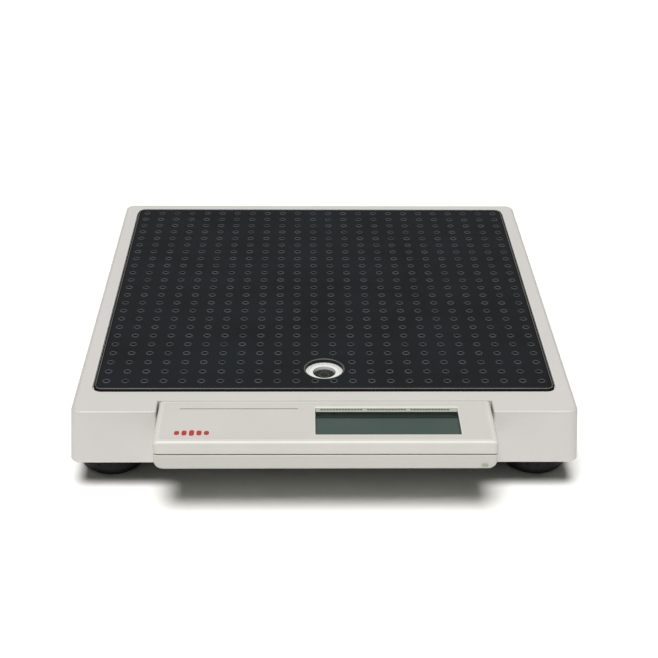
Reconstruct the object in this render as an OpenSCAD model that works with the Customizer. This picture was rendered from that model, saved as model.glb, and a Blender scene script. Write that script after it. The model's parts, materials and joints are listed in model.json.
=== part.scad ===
// Flat portable weighing scale: a low platform on four levelling feet, with a
// display pod at the front whose cover rocks left and right as a tap key.
// Millimetres, +Z up. The origin is on the floor, under the middle of the whole
// scale's outline. The display is at the front, -Y.

/* [Housing] */
// Width of the housing at its lower edge
body_w = 321; // [318:1:326]
// Depth of the housing at its lower edge, front to back, without the pod
body_l = 324; // [322:1:328]
// Height of the mat's upper face above the floor
total_h = 60; // [59:0.5:61]
// Height of the housing's lower edge above the floor
skirt_z = 22; // [21.5:0.5:23]
// How far each side leans in from its lower edge to its upper edge
lean = 2.5; // [1.5:0.5:3]
// Plan radius of the housing's corners at its lower edge
corner_r = 6.5; // [6:0.5:9]
// Wall thickness of the mouldings
wall = 2.5; // [2:0.1:2.6]

/* [Mat] */
// Width of the rubber mat
mat_w = 295; // [290:1:297]
// Depth of the rubber mat
mat_l = 283.5; // [280:0.5:286]
// Thickness of the rubber mat
mat_t = 3; // [2.5:0.1:3.2]
// How far the mat stands above the housing's rim
mat_rise = 1.4; // [1:0.1:1.8]
// Distance from the housing's upper front edge back to the mat
mat_setback = 24.5; // [24:0.5:25]

/* [Display pod] */
// Width of the display pod
pod_w = 208; // [206:0.5:209]
// How far the pod stands out in front of the housing's lower edge
pod_reach = 32; // [30:0.5:34]
// How far the pod reaches back into its notch in the housing
pod_inset = 15.3; // [15:0.1:16]
// Height of the pod from its upper face to its underside
pod_h = 20.4; // [20:0.1:21]
// Height of the rocking cover from its upper face to the seam
cover_h = 8.7; // [8.5:0.1:9]
// Open seam between the rocking cover and the pod's base
seam = 0.9; // [0.8:0.1:1]
// Width of the display window
window_w = 88.6; // [86:0.1:90]
// Depth of the display window, front to back
window_l = 30.8; // [30:0.1:31]
// Middle of the window, to the right of the pod's middle
window_x = 38.1; // [37:0.1:39]
// Middle of the window, back from the pod's front face
window_back = 24; // [23.5:0.1:24.5]

/* [Feet] */
// Sideways distance between the feet
foot_gauge = 276; // [274:1:276]
// Front foot, back from the housing's lower front edge
front_foot_back = 37; // [36:1:38]
// Distance from the front feet to the rear feet
foot_base = 250; // [246:1:252]
// Radius of the adjusting wheel on each foot
wheel_r = 22.2; // [19:0.1:22.4]
// Radius of the sole where it meets the floor
sole_r = 16; // [13:0.5:16]
// Diameter of the threaded stud
stud_d = 10; // [9:0.5:10]

/* [Bubble level] */
// Distance from the front edge of the mat to the middle of the level
level_back = 26.2; // [25:0.1:27]
// Diameter of the level's hole in the mat
level_hole_d = 25.8; // [25:0.1:27]

/* [Batteries] */
// Number of cells side by side
battery_count = 6; // [4:1:6]

/* [Hidden] */

// Smoothness of curved faces
$fn = 48;
// A little extra length, so that a cut runs clear of the face it opens
over = 0.5;
// Clearance round a screw in a hole that it passes freely
free = 0.2;
// Clearance round a thread in its hole
thread_gap = 0.025;
// Radial clearance of a shaft that turns or slides in a bore
run_gap = 0.05;

// Outline of the whole scale, front to back
total_l = body_l + pod_reach;
body_back = total_l / 2;
body_front = body_back - body_l;
body_mid = (body_front + body_back) / 2;
pod_front = -total_l / 2;
pod_back = body_front + pod_inset;

// Levels, from the top down
rim_z = total_h - mat_rise;
mat_z = total_h - mat_t;
skin_z = mat_z - wall;
plate_t = 2.5;
plate_z = skin_z - plate_t;
web_t = 2.5;
web_z = plate_z - web_t;
cell_h = 12;
cell_top = web_z - 3.5;
cell_z = cell_top - cell_h;
floor_t = 2.2;
floor_z = skirt_z + 3.4;
floor_top = floor_z + floor_t;

// Rounding along the housing's upper edge
edge_r = 2;
// Gap between neighbouring mouldings
fit_gap = 0.4;
// Change of the housing's half width per millimetre of height
slope = lean / (rim_z - skirt_z);

// The mat and its recess
mat_front = body_front + lean + mat_setback;
mat_mid = mat_front + mat_l / 2;
mat_corner = 6;
mat_gap = 0.5;
level_y = mat_front + level_back;

// The steel plate under the cover's skin
plate_w = 304;
plate_front = mat_front + 2;
plate_back = body_back - 17;
plate_mid = (plate_front + plate_back) / 2;

// The feet and the load cells that stand on them
foot_x = foot_gauge / 2;
front_foot_y = body_front + front_foot_back;
rear_foot_y = front_foot_y + foot_base;
cell_l = 72;
cell_w = 20;
cell_tip = 11;
cell_screw_at = [39, 52];
channel_w = 28;
channel_h = 12;
channel_front = front_foot_y - 12;
channel_back = rear_foot_y + 12;

// Screws through the skin, the plate and the stiffener
plate_screw_y = [front_foot_y + 14, front_foot_y + 81, rear_foot_y - 81, rear_foot_y - 14];
plate_screw_d = 4;
plate_screw_head_d = 8;

// Bosses in the top cover that the bottom cover is screwed to
mid_boss_x = 112;
boss_spots = concat(
    [for (x = [-125, 125]) [x, body_front + 9]],
    [for (x = [-mid_boss_x, mid_boss_x]) [x, body_mid]],
    [for (x = [-140, -50, 50, 140]) [x, body_back - 10]]
);
boss_d = 8;
case_screw_d = 3;

// The notch in the housing that the pod stands in
pod_z = rim_z - pod_h;
notch_w = pod_w + 1.6;
notch_back = pod_back + 0.5;
notch_z = pod_z - 0.4;

// The pod's shells
seam_z = rim_z - cover_h;
base_top = seam_z - seam;
pod_wall = 2;
pod_corner = 5.5;
pod_edge = 1.5;
pod_floor = pod_z + 2;
pod_mid = (pod_front + pod_back) / 2;
pod_l = pod_back - pod_front;
lip_t = 1.2;
lip_gap = 0.6;
lip_z = base_top + 2.6;

// The cover rocks on two short pins along Y
pivot_z = pod_floor + 5.8;
pin_d = 3;
lug_w = 8;
lug_t = 2.5;
pivot_ends = [[pod_front + 2.3, 1], [pod_back - 2.3, -1]];

// Tap plungers, one under each end of the cover
plunger_x = 93.5;
plunger_y = pod_mid;
plunger_d = 5;
plunger_top = rim_z - pod_wall - 0.7;
switch_gap = 0.75;
pad_h = 0.6;

// The display board and what stands on it
board_t = 1.6;
board_z = pod_floor + 1.6;
board_top = board_z + board_t;
board_w = 200;
board_l = 27;
board_mid = pod_front + 24;
switch_h = 2.6;
button_h = 1;
button_top = board_top + switch_h + button_h;
guide_top = board_top + 6.1;
board_screw_spots = [for (x = [-95, 95], y = [-10.5, 10.5]) [x, board_mid + y]];

// The liquid crystal display under the window
window_y = pod_front + window_back;
pane_flange_z = rim_z - pod_wall - 0.7;
label_l = 4.6;
label_t = 0.2;
lcd_top = pane_flange_z - 1.5;
lcd_t = 2.6;
lcd_front = pod_front + 8.5;
lcd_back = pod_front + 35;
lcd_w = 93;

// The main board stands on the bottom cover, left of the middle
main_x = -60;
main_y = -50;
main_w = 80;
main_l = 50;
main_z = floor_top + 4.4;
main_screw_spots = [for (x = [-36, 36], y = [-21, 21]) [main_x + x, main_y + y]];

// Ribbon from the main board to the display board
ribbon_x = -40;
ribbon_w = 18;
ribbon_t = 0.6;
ribbon_z = board_top + 0.9;

// The battery well in the bottom cover
battery_d = 14.5;
battery_len = 48.5;
battery_pitch = 15.2;
well_y = 60;
well_w = battery_count * battery_pitch + 1;
well_l = 54;
well_wall = 1.6;
battery_z = floor_top + 0.4 + battery_d / 2;
well_top = battery_z + battery_d / 2 + 0.5;
lid_t = 1.5;
lid_top = floor_z - 0.2;
lid_z = lid_top - lid_t;
lid_w = well_w + 12;
lid_l = well_l + 12;
rail_t = 2;
rail_lip = 3;
rail_lip_t = 1.2;

// The bubble level
flange_z = mat_z - 1;
flange_top = mat_z + 0.2;
flange_r = 12.2;
ring_step_r = 10.5;
ring_bore_r = 7.4;
vial_top = flange_top - 1.3;
level_r = 10.1;
level_z = flange_z - 10;

// The feet, from the floor up
sole_top = 5.2;
wheel_z = 5.6;
wheel_top = 18.5;
flute_count = 20;
foot_pin_d = 6;
stud_top = cell_top;
hex_flats = 17;

// ---------------------------------------------------------------- shapes

// Points of an arc about [x, y], in the order of the angles
function arc(x, y, r, from, to, steps = 6) =
    [for (i = [0 : steps]) [x + r * cos(from + (to - from) * i / steps), y + r * sin(from + (to - from) * i / steps)]];

// Right-hand outline of a leaning side, measured out from the corner's axis
function side_outline(z0, z1, r, lean_in, edge) =
    let (a = atan(lean_in / (z1 - z0)), z_mid = z1 - edge)
    let (x_mid = r - (z_mid - z0) * tan(a) - edge / cos(a))
    edge > 0 ? concat([[r, z0]], arc(x_mid, z_mid, edge, a, 90, 4)) : [[r, z0], [r - lean_in, z1]];

// Block with round upright corners, whose sides lean in and whose upper edge is round
module leaning_block(w, l, z0, z1, r, lean_in = 0, edge = 0) {
    side = side_outline(z0, z1, r, lean_in, edge);
    cx = w / 2 - r;
    cy = l / 2 - r;
    rotate([90, 0, 0]) linear_extrude(2 * cy, center = true) polygon(both_sides(side, cx));
    rotate([90, 0, 90]) linear_extrude(2 * cx, center = true) polygon(both_sides(side, cy));
    for (x = [-cx, cx], y = [-cy, cy])
        translate([x, y, 0]) rotate_extrude() polygon(concat([[0, z0]], side, [[0, z1]]));
}

// The outline on the right, moved out by c, and its mirror image on the left
function both_sides(side, c) = concat(
    [for (p = side) [c + p[0], p[1]]],
    [for (i = [len(side) - 1 : -1 : 0]) [-c - side[i][0], side[i][1]]]
);

// Box given by its middle in plan and its two heights
module slab(x, y, w, l, z0, z1) {
    translate([x - w / 2, y - l / 2, z0]) cube([w, l, z1 - z0]);
}

// Upright round bar
module post(x, y, d, z0, z1) {
    translate([x, y, z0]) cylinder(d = d, h = z1 - z0);
}

// Box with its four upright edges rounded
module round_slab(w, l, r, z0, z1) {
    leaning_block(w, l, z0, z1, r);
}

// Pan-head screw, head at z0 and shank upwards to z1
module screw_up(x, y, d, head_d, head_h, z0, z1) {
    post(x, y, head_d, z0, z0 + head_h);
    post(x, y, d, z0 + head_h, z1);
}

// Pan-head screw, head on top at z1 and shank down to z0
module screw_down(x, y, d, head_d, head_h, z0, z1) {
    post(x, y, head_d, z1 - head_h, z1);
    post(x, y, d, z0, z1 - head_h);
}

// Point on a smooth curve through p, at t between point i and the next
function pick(p, i) = p[min(max(i, 0), len(p) - 1)];
function curve_point(p, i, t) =
    let (a = pick(p, i - 1), b = pick(p, i), c = pick(p, i + 1), d = pick(p, i + 2))
    0.5 * (2 * b + (c - a) * t + (2 * a - 5 * b + 4 * c - d) * t * t + (3 * b - a - 3 * c + d) * t * t * t);
function smooth_route(p, steps) =
    concat([for (i = [0 : len(p) - 2], s = [0 : steps - 1]) curve_point(p, i, s / steps)], [p[len(p) - 1]]);
function unit(v) = v / norm(v);

// Round wire of radius r along the points of a route that never stands upright
module wire(route, r, sides = 8) {
    last = len(route) - 1;
    rings = [for (i = [0 : last])
        let (along = unit(pick(route, i + 1) - pick(route, i - 1)))
        let (across = unit(cross(along, [0, 0, 1])))
        let (up = cross(across, along))
        for (k = [0 : sides - 1]) route[i] + r * (cos(360 * k / sides) * across + sin(360 * k / sides) * up)];
    walls = [for (i = [0 : last - 1], k = [0 : sides - 1])
        [i * sides + k, i * sides + (k + 1) % sides, (i + 1) * sides + (k + 1) % sides, (i + 1) * sides + k]];
    polyhedron(rings, concat(
        [[for (k = [sides - 1 : -1 : 0]) k]], walls, [[for (k = [0 : sides - 1]) last * sides + k]]
    ));
}

// Helical spring from height z0 to z1, which narrows from radius r0 to r1
module coil(r0, r1, wire_d, z0, z1, turns) {
    steps = 14;
    count = round(turns * steps);
    rise = z1 - z0 - wire_d;
    wire([for (i = [0 : count])
        let (f = i / count, r = r0 + (r1 - r0) * f, a = 360 * turns * f)
        [r * cos(a), r * sin(a), z0 + wire_d / 2 + rise * f]], wire_d / 2, 6);
}

// ---------------------------------------------------------------- housing

// The pod's notch, grown by the thickness of the wall round it
module notch(grow) {
    depth = notch_back - pod_front + grow;
    slab(0, notch_back + grow - depth / 2, notch_w + 2 * grow, depth, notch_z - grow, total_h);
}

module top_cover() color("#d9d8d2") difference() {
    union() {
        difference() {
            translate([0, body_mid, 0])
                leaning_block(body_w, body_l, skirt_z, rim_z, corner_r, lean, edge_r);
            translate([0, body_mid, 0]) cavity();
        }
        intersection() {
            translate([0, body_mid, 0])
                leaning_block(body_w, body_l, skirt_z, rim_z, corner_r, lean, edge_r);
            notch(wall);
        }
        for (s = boss_spots) post(s[0], s[1], boss_d, floor_top, skin_z + 1);
    }
    notch(0);
    translate([0, mat_mid, 0])
        round_slab(mat_w + 2 * mat_gap, mat_l + 2 * mat_gap, mat_corner + mat_gap, mat_z, total_h);
    post(0, level_y, 2 * level_r + 0.6, skin_z - over, mat_z + over);
    post(0, level_y, 2 * flange_r + 0.4, flange_z, mat_z + over);
    for (s = boss_spots) post(s[0], s[1], case_screw_d + 2 * thread_gap, floor_top - over, floor_top + 13);
    for (x = [-foot_x, foot_x], y = plate_screw_y) translate([x, y, 0]) {
        translate([0, 0, skin_z - over]) cylinder(d = plate_screw_d + 2 * free, h = wall + 2 * over);
        translate([0, 0, mat_z - 2.1]) cylinder(r1 = plate_screw_d / 2 + 0.1, r2 = plate_screw_head_d / 2 + 0.2, h = 2.2);
    }
    for (x = [-75, -22, 22, 75]) post(x, pod_back - 6.3, case_screw_d + 2 * free, notch_z - wall - over, notch_z + over);
    slab(ribbon_x, notch_back + wall / 2, ribbon_w + 4, wall + 2 * over, ribbon_z - 1.2, ribbon_z + 1.8);
}

// The inside of the housing, below its skin
module cavity() {
    inner = body_w - 2 * wall;
    leaning_block(inner, body_l - 2 * wall, skirt_z - over, skin_z, corner_r - wall, slope * (skin_z - skirt_z), 0);
}

module platform_mat() color("#2b2e33") difference() {
    translate([0, mat_mid, 0]) leaning_block(mat_w, mat_l, mat_z, total_h, mat_corner, 0, 0.8);
    post(0, level_y, level_hole_d, mat_z - over, total_h + over);
}

module platform_plate() color("#9a9ea2") difference() {
    slab(0, plate_mid, plate_w, plate_back - plate_front, plate_z, skin_z);
    post(0, level_y, 2 * level_r + 1, plate_z - over, skin_z + over);
    for (x = [-mid_boss_x, mid_boss_x]) post(x, body_mid, boss_d + 1, plate_z - over, skin_z + over);
    for (x = [-foot_x, foot_x], y = plate_screw_y) post(x, y, plate_screw_d + 2 * free, plate_z - over, skin_z + over);
}

// Steel channel, open downwards, over the two load cells of one side
module stiffener(side) color("#8d9195") difference() {
    x = side * foot_x;
    y = (channel_front + channel_back) / 2;
    l = channel_back - channel_front;
    slab(x, y, channel_w, l, plate_z - channel_h, plate_z);
    slab(x, y, channel_w - 2 * web_t, l + 2 * over, plate_z - channel_h - over, web_z);
    for (sy = plate_screw_y) post(x, sy, plate_screw_d + 2 * thread_gap, web_z - over, plate_z + over);
    for (sy = cell_screw_y()) post(x, sy, 5 + 2 * thread_gap, web_z - over, plate_z + over);
}

// Where the load cells are screwed up, front and rear
function cell_screw_y() = concat(
    [for (a = cell_screw_at) front_foot_y + a], [for (a = cell_screw_at) rear_foot_y - a]
);

module bottom_cover() color("#3a3c3e") difference() {
    union() {
        difference() {
            translate([0, body_mid, 0]) round_slab(
                body_w - 2 * (wall + fit_gap + slope * (floor_top - skirt_z)),
                body_l - 2 * (wall + fit_gap + slope * (floor_top - skirt_z)), corner_r - wall, floor_z, floor_top
            );
            slab(0, well_y, well_w, well_l, floor_z - over, floor_top + over);
        }
        for (x = [-1, 1]) slab(x * (well_w + well_wall) / 2, well_y, well_wall, well_l + 2 * well_wall, floor_z, well_top);
        for (y = [-1, 1]) slab(0, well_y + y * (well_l + well_wall) / 2, well_w, well_wall, floor_z, well_top);
        slab(0, well_y, well_w + 2 * well_wall, well_l + 2 * well_wall, well_top, well_top + well_wall);
        for (s = main_screw_spots) post(s[0], s[1], 6, floor_top, main_z);
        for (x = [-1, 1]) lid_rail(x);
        for (x = [-foot_x, foot_x], y = [front_foot_y, rear_foot_y]) post(x, y, stud_d + 8, floor_top, floor_top + 1.5);
    }
    for (x = [-foot_x, foot_x], y = [front_foot_y, rear_foot_y])
        post(x, y, stud_d + 4, floor_z - over, floor_top + 2);
    for (s = boss_spots) post(s[0], s[1], case_screw_d + 2 * free, floor_z - over, floor_top + over);
    for (s = main_screw_spots) post(s[0], s[1], 2.5 + 2 * thread_gap, floor_top - 0.7, main_z + over);
}

// L-shaped rail that holds one long edge of the battery lid
module lid_rail(side) {
    x = side * (lid_w / 2 + 0.3 + rail_t / 2);
    slab(x, well_y, rail_t, lid_l, lid_z - 0.3 - rail_lip_t, floor_z);
    slab(x - side * rail_lip / 2, well_y, rail_t + rail_lip, lid_l, lid_z - 0.3 - rail_lip_t, lid_z - 0.3);
}

// Countersunk screws that hide under the mat
module plate_screws() color("#c9ccce") for (x = [-foot_x, foot_x], y = plate_screw_y) difference() {
    union() {
        post(x, y, plate_screw_d, web_z, mat_z - 2);
        translate([x, y, mat_z - 2]) cylinder(r1 = plate_screw_d / 2, r2 = plate_screw_head_d / 2, h = 1.9);
    }
    for (a = [0, 90]) translate([x, y, mat_z]) rotate([0, 0, a]) cube([4, 0.8, 1.6], center = true);
}

module bottom_cover_screws() color("#b9bcbe") for (s = boss_spots)
    screw_up(s[0], s[1], case_screw_d, 6, 2, floor_z - 2, floor_top + 12);

// ---------------------------------------------------------------- load cells

// Aluminium bending beam: the foot's stud is at [x, y], and the beam runs back by dir
module load_cell(x, y, dir) color("#c6c9cb") translate([x, y, 0]) difference() {
    slab(0, dir * (cell_l / 2 - cell_tip), cell_w, cell_l, cell_z, cell_top);
    post(0, 0, stud_d + 2 * run_gap, cell_z - over, cell_top + over);
    for (a = cell_screw_at) post(0, dir * a, 5 + 2 * free, cell_z - over, cell_top + over);
    for (a = [17, 28]) translate([0, dir * a, (cell_z + cell_top) / 2])
        rotate([0, 90, 0]) cylinder(d = 7, h = cell_w + 2 * over, center = true);
    slab(0, dir * 22.5, cell_w + 2 * over, 11, (cell_z + cell_top) / 2 - 1.5, (cell_z + cell_top) / 2 + 1.5);
}

// Steel blocks between the fixed ends of the cells and the stiffeners
module load_cell_spacers() color("#a2a6a9") for (x = [-foot_x, foot_x], d = [1, -1]) difference() {
    y = d > 0 ? front_foot_y : rear_foot_y;
    slab(x, y + d * 46, 18, 28, cell_top, web_z);
    for (a = cell_screw_at) post(x, y + d * a, 5 + 2 * free, cell_top - over, web_z + over);
}

module load_cell_screws() color("#b9bcbe") for (x = [-foot_x, foot_x], y = cell_screw_y())
    screw_up(x, y, 5, 8.5, 4.5, cell_z - 4.5, plate_z - 0.1);

// Sealing compound over the strain gauges, above and below each cell
module gauge_covers() color("#e8e6de") for (x = [-foot_x, foot_x], d = [1, -1], z = [cell_z - 0.8, cell_top])
    slab(x, (d > 0 ? front_foot_y : rear_foot_y) + d * 22.5, 12, 18, z, z + 0.8);

// ---------------------------------------------------------------- bubble level

module level_housing() color("#f2f2ee") translate([0, level_y, 0]) rotate_extrude() polygon([
    [0, level_z], [level_r, level_z], [level_r, flange_z], [flange_r, flange_z],
    [flange_r, flange_top - 0.4], [flange_r - 0.4, flange_top], [ring_step_r, flange_top],
    [ring_step_r - 0.2, flange_top - 0.2], [ring_bore_r, flange_top - 0.2], [ring_bore_r, level_z + 1.5],
    [0, level_z + 1.5]
]);

// Clear vial: a round chamber with a domed upper inside
module level_vial() color("#aab0a8", 0.4) translate([0, level_y, 0]) rotate_extrude() polygon(concat(
    [[0, level_z + 1.5], [ring_bore_r - 0.05, level_z + 1.5], [ring_bore_r - 0.05, vial_top], [0, vial_top]],
    chamber_outline()
));

// Height of the chamber's domed ceiling, r from its middle
function dome_z(r) = vial_top - 1 - 0.02 * r * r;

function chamber_outline() = concat([for (r = [0 : 6]) [r, dome_z(r)]], [[6, level_z + 3], [0, level_z + 3]]);

module level_fluid() color("#7f8c62", 0.5) translate([0, level_y, 0]) difference() {
    rotate_extrude() polygon(chamber_outline());
    bubble_shape();
}

module level_bubble() color("#eef2ee", 0.5) translate([0, level_y, 0]) bubble_shape();

// Flat air bubble, whose upper face is the dome's middle
module bubble_shape() rotate_extrude() polygon([
    [0, dome_z(0)], [1, dome_z(1)], [2, dome_z(2)], [2.3, dome_z(0) - 0.5], [1.6, dome_z(0) - 1], [0, dome_z(0) - 1.1]
]);

// ---------------------------------------------------------------- electronics

module main_board() color("#2f6b42") difference() {
    slab(main_x, main_y, main_w, main_l, main_z, main_z + board_t);
    for (s = main_screw_spots) post(s[0], s[1], 2.5 + 2 * free, main_z - over, main_z + board_t + over);
}

module main_board_screws() color("#c9ccce") for (s = main_screw_spots)
    screw_down(s[0], s[1], 2.5, 5, 1.5, floor_top - 0.2, main_z + board_t + 1.5);

// Shield over the amplifier, processor, capacitors and the plug headers
module main_board_parts() color("#24272a") {
    z = main_z + board_t;
    slab(main_x - 20, main_y + 5, 24, 20, z, z + 3);
    slab(main_x + 10, main_y + 4, 12, 12, z, z + 1.4);
    for (i = [0 : 3]) post(main_x - 2 + 8 * i, main_y - 8, 5, z, z + 7);
    for (i = [0 : 3]) slab(header_x(i), main_y + 22, 8, 5, z, z + 6);
    slab(main_x + 24, main_y + 12, 7, 10, z, z + 6);
    slab(ribbon_x, main_y - 22, ribbon_w + 4, 5, z, z + 2.2);
}

// Middle of the header that takes lead i
function header_x(i) = main_x - 27 + 10 * i;

// One lead from each load cell to its header on the main board
module sensor_leads() color("#8a8d90") {
    end_z = main_z + board_t + 3;
    header_y = main_y + 25.2;
    edge_x = foot_x - cell_w / 2;
    front_y = front_foot_y + 22.5;
    rear_y = rear_foot_y - 22.5;
    z = floor_top + 8;
    wire(smooth_route([
        [-edge_x, front_y, z], [-118, front_y + 2, z], [-110, front_y + 20, z],
        [-104, header_y + 6, z], [header_x(0), header_y + 7, end_z + 1], [header_x(0), header_y, end_z]
    ], 5), 1.2);
    wire(smooth_route([
        [-edge_x, rear_y, z], [-118, rear_y - 3, z], [-104, rear_y - 40, z],
        [-90, 20, z], [header_x(1), header_y + 14, end_z + 1], [header_x(1), header_y, end_z]
    ], 5), 1.2);
    wire(smooth_route([
        [edge_x, rear_y, z], [118, rear_y - 3, z], [100, rear_y - 50, z], [70, 16, z],
        [0, 4, z], [header_x(2), header_y + 18, end_z + 1], [header_x(2), header_y, end_z]
    ], 5), 1.2);
    wire(smooth_route([
        [edge_x, front_y, z], [112, front_y + 8, z], [90, front_y + 48, z], [40, -18, z],
        [main_x + 20, header_y + 10, end_z + 1], [header_x(3), header_y + 8, end_z + 1], [header_x(3), header_y, end_z]
    ], 5), 1.2);
}

module battery_leads() color("#a03028") {
    plug_y = main_y + 17;
    wall_y = well_y - well_l / 2 - well_wall;
    high = floor_top + 13;
    for (x = [main_x + 22.7, main_x + 25.3]) wire(smooth_route([
        [x, wall_y, high], [x, wall_y - 12, high], [x, plug_y + 24, high], [x, plug_y + 12, high - 0.4],
        [x, plug_y, main_z + board_t + 4.4]
    ], 5), 0.9);
}

// Flat ribbon through the notch's wall and into the pod
module display_ribbon() color("#d6d3c8") {
    low = main_z + board_t + 1.1;
    start = main_y - 24.6;
    finish = board_mid + board_l / 2 - 1;
    route = [
        [start, low], [start - 10, low], [start - 25, low + 2], [notch_back + 12, ribbon_z - 1],
        [notch_back + 6, ribbon_z], [finish, ribbon_z]
    ];
    translate([ribbon_x - ribbon_w / 2, 0, 0]) rotate([90, 0, 90]) linear_extrude(ribbon_w)
        polygon(concat(route, [for (i = [len(route) - 1 : -1 : 0]) route[i] + [0, ribbon_t]]));
}

// ---------------------------------------------------------------- batteries

function battery_x(i) = (i - (battery_count - 1) / 2) * battery_pitch;

module batteries() color("#4a4f57") for (i = [0 : battery_count - 1])
    translate([battery_x(i), well_y, battery_z]) rotate([i % 2 == 0 ? 90 : -90, 0, 0]) {
        cylinder(d = battery_d, h = battery_len, center = true);
        translate([0, 0, battery_len / 2]) cylinder(d = 5.5, h = 1);
    }

// A plate at each end of every battery, and a narrowing spring at its flat end
module battery_contacts() color("#c8b070") for (i = [0 : battery_count - 1]) {
    flip = i % 2 == 0 ? 1 : -1;
    for (e = [-1, 1]) translate([battery_x(i), well_y + e * (well_l / 2 - 0.3), battery_z])
        cube([11, 0.4, 11], center = true);
    translate([battery_x(i), well_y + flip * (well_l / 2 - 0.5), battery_z])
        rotate([flip * 90, 0, 0]) coil(4.6, 3, 0.7, 0, well_l / 2 - 0.5 - battery_len / 2, 1.5);
}

module battery_lid() color("#3a3c3e") difference() {
    union() {
        slab(0, well_y, lid_w, lid_l, lid_z, lid_top);
        for (i = [0 : 4]) slab(0, well_y - lid_l / 2 + 5 + 3 * i, 30, 1.2, lid_z - 0.8, lid_z);
    }
    slab(0, well_y - lid_l / 2 + 24, 30, 1.6, lid_z - over, lid_z + 0.6);
}

// ---------------------------------------------------------------- display pod

// Outline of the pod seen from the front, between two heights, drawn in by inset
module pod_profile(z0, z1, inset) {
    w = pod_w / 2 - inset;
    low = pod_z + inset;
    high = rim_z - inset;
    r = pod_corner - inset;
    e = max(pod_edge - inset, 0.1);
    intersection() {
        polygon(concat(
            arc(-w + r, low + r, r, 180, 270), arc(w - r, low + r, r, 270, 360),
            arc(w - e, high - e, e, 0, 90), arc(-w + e, high - e, e, 90, 180)
        ));
        translate([-w - 1, z0]) square([2 * w + 2, z1 - z0]);
    }
}

// The same outline as a solid, inset alike from the pod's front and back
module pod_solid(z0, z1, inset) {
    translate([0, pod_back - inset, 0]) rotate([90, 0, 0])
        linear_extrude(pod_l - 2 * inset) pod_profile(z0, z1, inset);
}

module pod_base() color("#cfcdc6") difference() {
    union() {
        difference() {
            pod_solid(pod_z, base_top, 0);
            pod_solid(pod_floor, base_top + over, pod_wall);
        }
        difference() {
            inner = pod_wall + lip_gap;
            pod_solid(base_top - 2, lip_z, inner);
            pod_solid(base_top - 3, lip_z + over, inner + lip_t);
            slab(0, pod_mid, lug_w + 6, pod_l, base_top - 3, lip_z + over);
        }
        difference() {
            pod_solid(base_top - 3, base_top, 1);
            pod_solid(base_top - 4, base_top + over, pod_wall + lip_gap + 0.4);
            slab(0, pod_mid, lug_w + 6, pod_l - 2 * pod_wall, base_top - 4, base_top + over);
        }
        for (e = pivot_ends) {
            y = e[0] + e[1] * (lug_t + 0.5);
            slab(0, y + e[1] * lug_t / 2, lug_w, lug_t, pod_floor - over, pivot_z + 2.8);
        }
        for (s = board_screw_spots) post(s[0], s[1], 5.5, pod_floor - over, board_z);
        for (x = [-75, -22, 22, 75]) post(x, pod_back - 6.3, 6.4, pod_floor - over, board_top + 1);
    }
    translate([0, pod_mid, pivot_z]) rotate([90, 0, 0]) cylinder(d = pin_d + 2 * run_gap, h = pod_l - 2 * pod_wall, center = true);
    for (s = board_screw_spots) post(s[0], s[1], 2.5 + 2 * thread_gap, pod_z + 1, board_z + over);
    for (x = [-75, -22, 22, 75]) post(x, pod_back - 6.3, case_screw_d + 2 * thread_gap, pod_z - over, board_top - 1);
    slab(ribbon_x, pod_back - 2, ribbon_w + 3, 8, ribbon_z - 0.9, ribbon_z + 1.5);
}

module pod_screws() color("#b9bcbe") for (x = [-75, -22, 22, 75])
    screw_up(x, pod_back - 6.3, case_screw_d, 6, 2, notch_z - wall - 2, board_top - 2);

module display_board() color("#2f6b42") difference() {
    slab(0, board_mid, board_w, board_l, board_z, board_top);
    for (s = board_screw_spots) post(s[0], s[1], 2.5 + 2 * free, board_z - over, board_top + over);
}

module display_board_screws() color("#c9ccce") for (s = board_screw_spots)
    screw_down(s[0], s[1], 2.5, 4.6, 1.3, pod_z + 1.2, board_top + 1.3);

// Tap switches that the plungers press
module key_switches() color("#24272a") for (x = [-plunger_x, plunger_x]) {
    slab(x, plunger_y, 6, 6, board_top, board_top + switch_h);
    post(x, plunger_y, 3.4, board_top + switch_h, button_top);
}

// Round towers over the switches, whose tops guide the plungers
module plunger_guides() color("#e4e2da") for (x = [-plunger_x, plunger_x]) difference() {
    post(x, plunger_y, 11, board_top, guide_top);
    post(x, plunger_y, 8.8, board_top - over, guide_top - 1.5);
    post(x, plunger_y, plunger_d + 2 * run_gap, board_top, guide_top + over);
}

module lcd_frame() color("#2c302f") difference() {
    y = (lcd_front + lcd_back) / 2;
    l = lcd_back - lcd_front;
    slab(window_x - 0.1, y, lcd_w + 3.4, l + 1.2, board_top, lcd_top + 0.2);
    slab(window_x - 0.1, y, lcd_w + 0.2, l + 0.2, lcd_top - lcd_t, lcd_top + 1);
    slab(window_x - 0.1, y, lcd_w - 6, l - 4.5, board_top - over, lcd_top);
}

module lcd_glass() color("#5a655c") slab(window_x - 0.1, (lcd_front + lcd_back) / 2, lcd_w, lcd_back - lcd_front,
    lcd_top - lcd_t, lcd_top);

// Rubber strips that carry the current up from the board to the glass
module contact_strips() color("#e0b8b8") for (y = [lcd_front + 3.6, lcd_back - 3.6])
    slab(window_x - 0.1, y, lcd_w - 8, 2, board_top, lcd_top - lcd_t);

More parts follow.
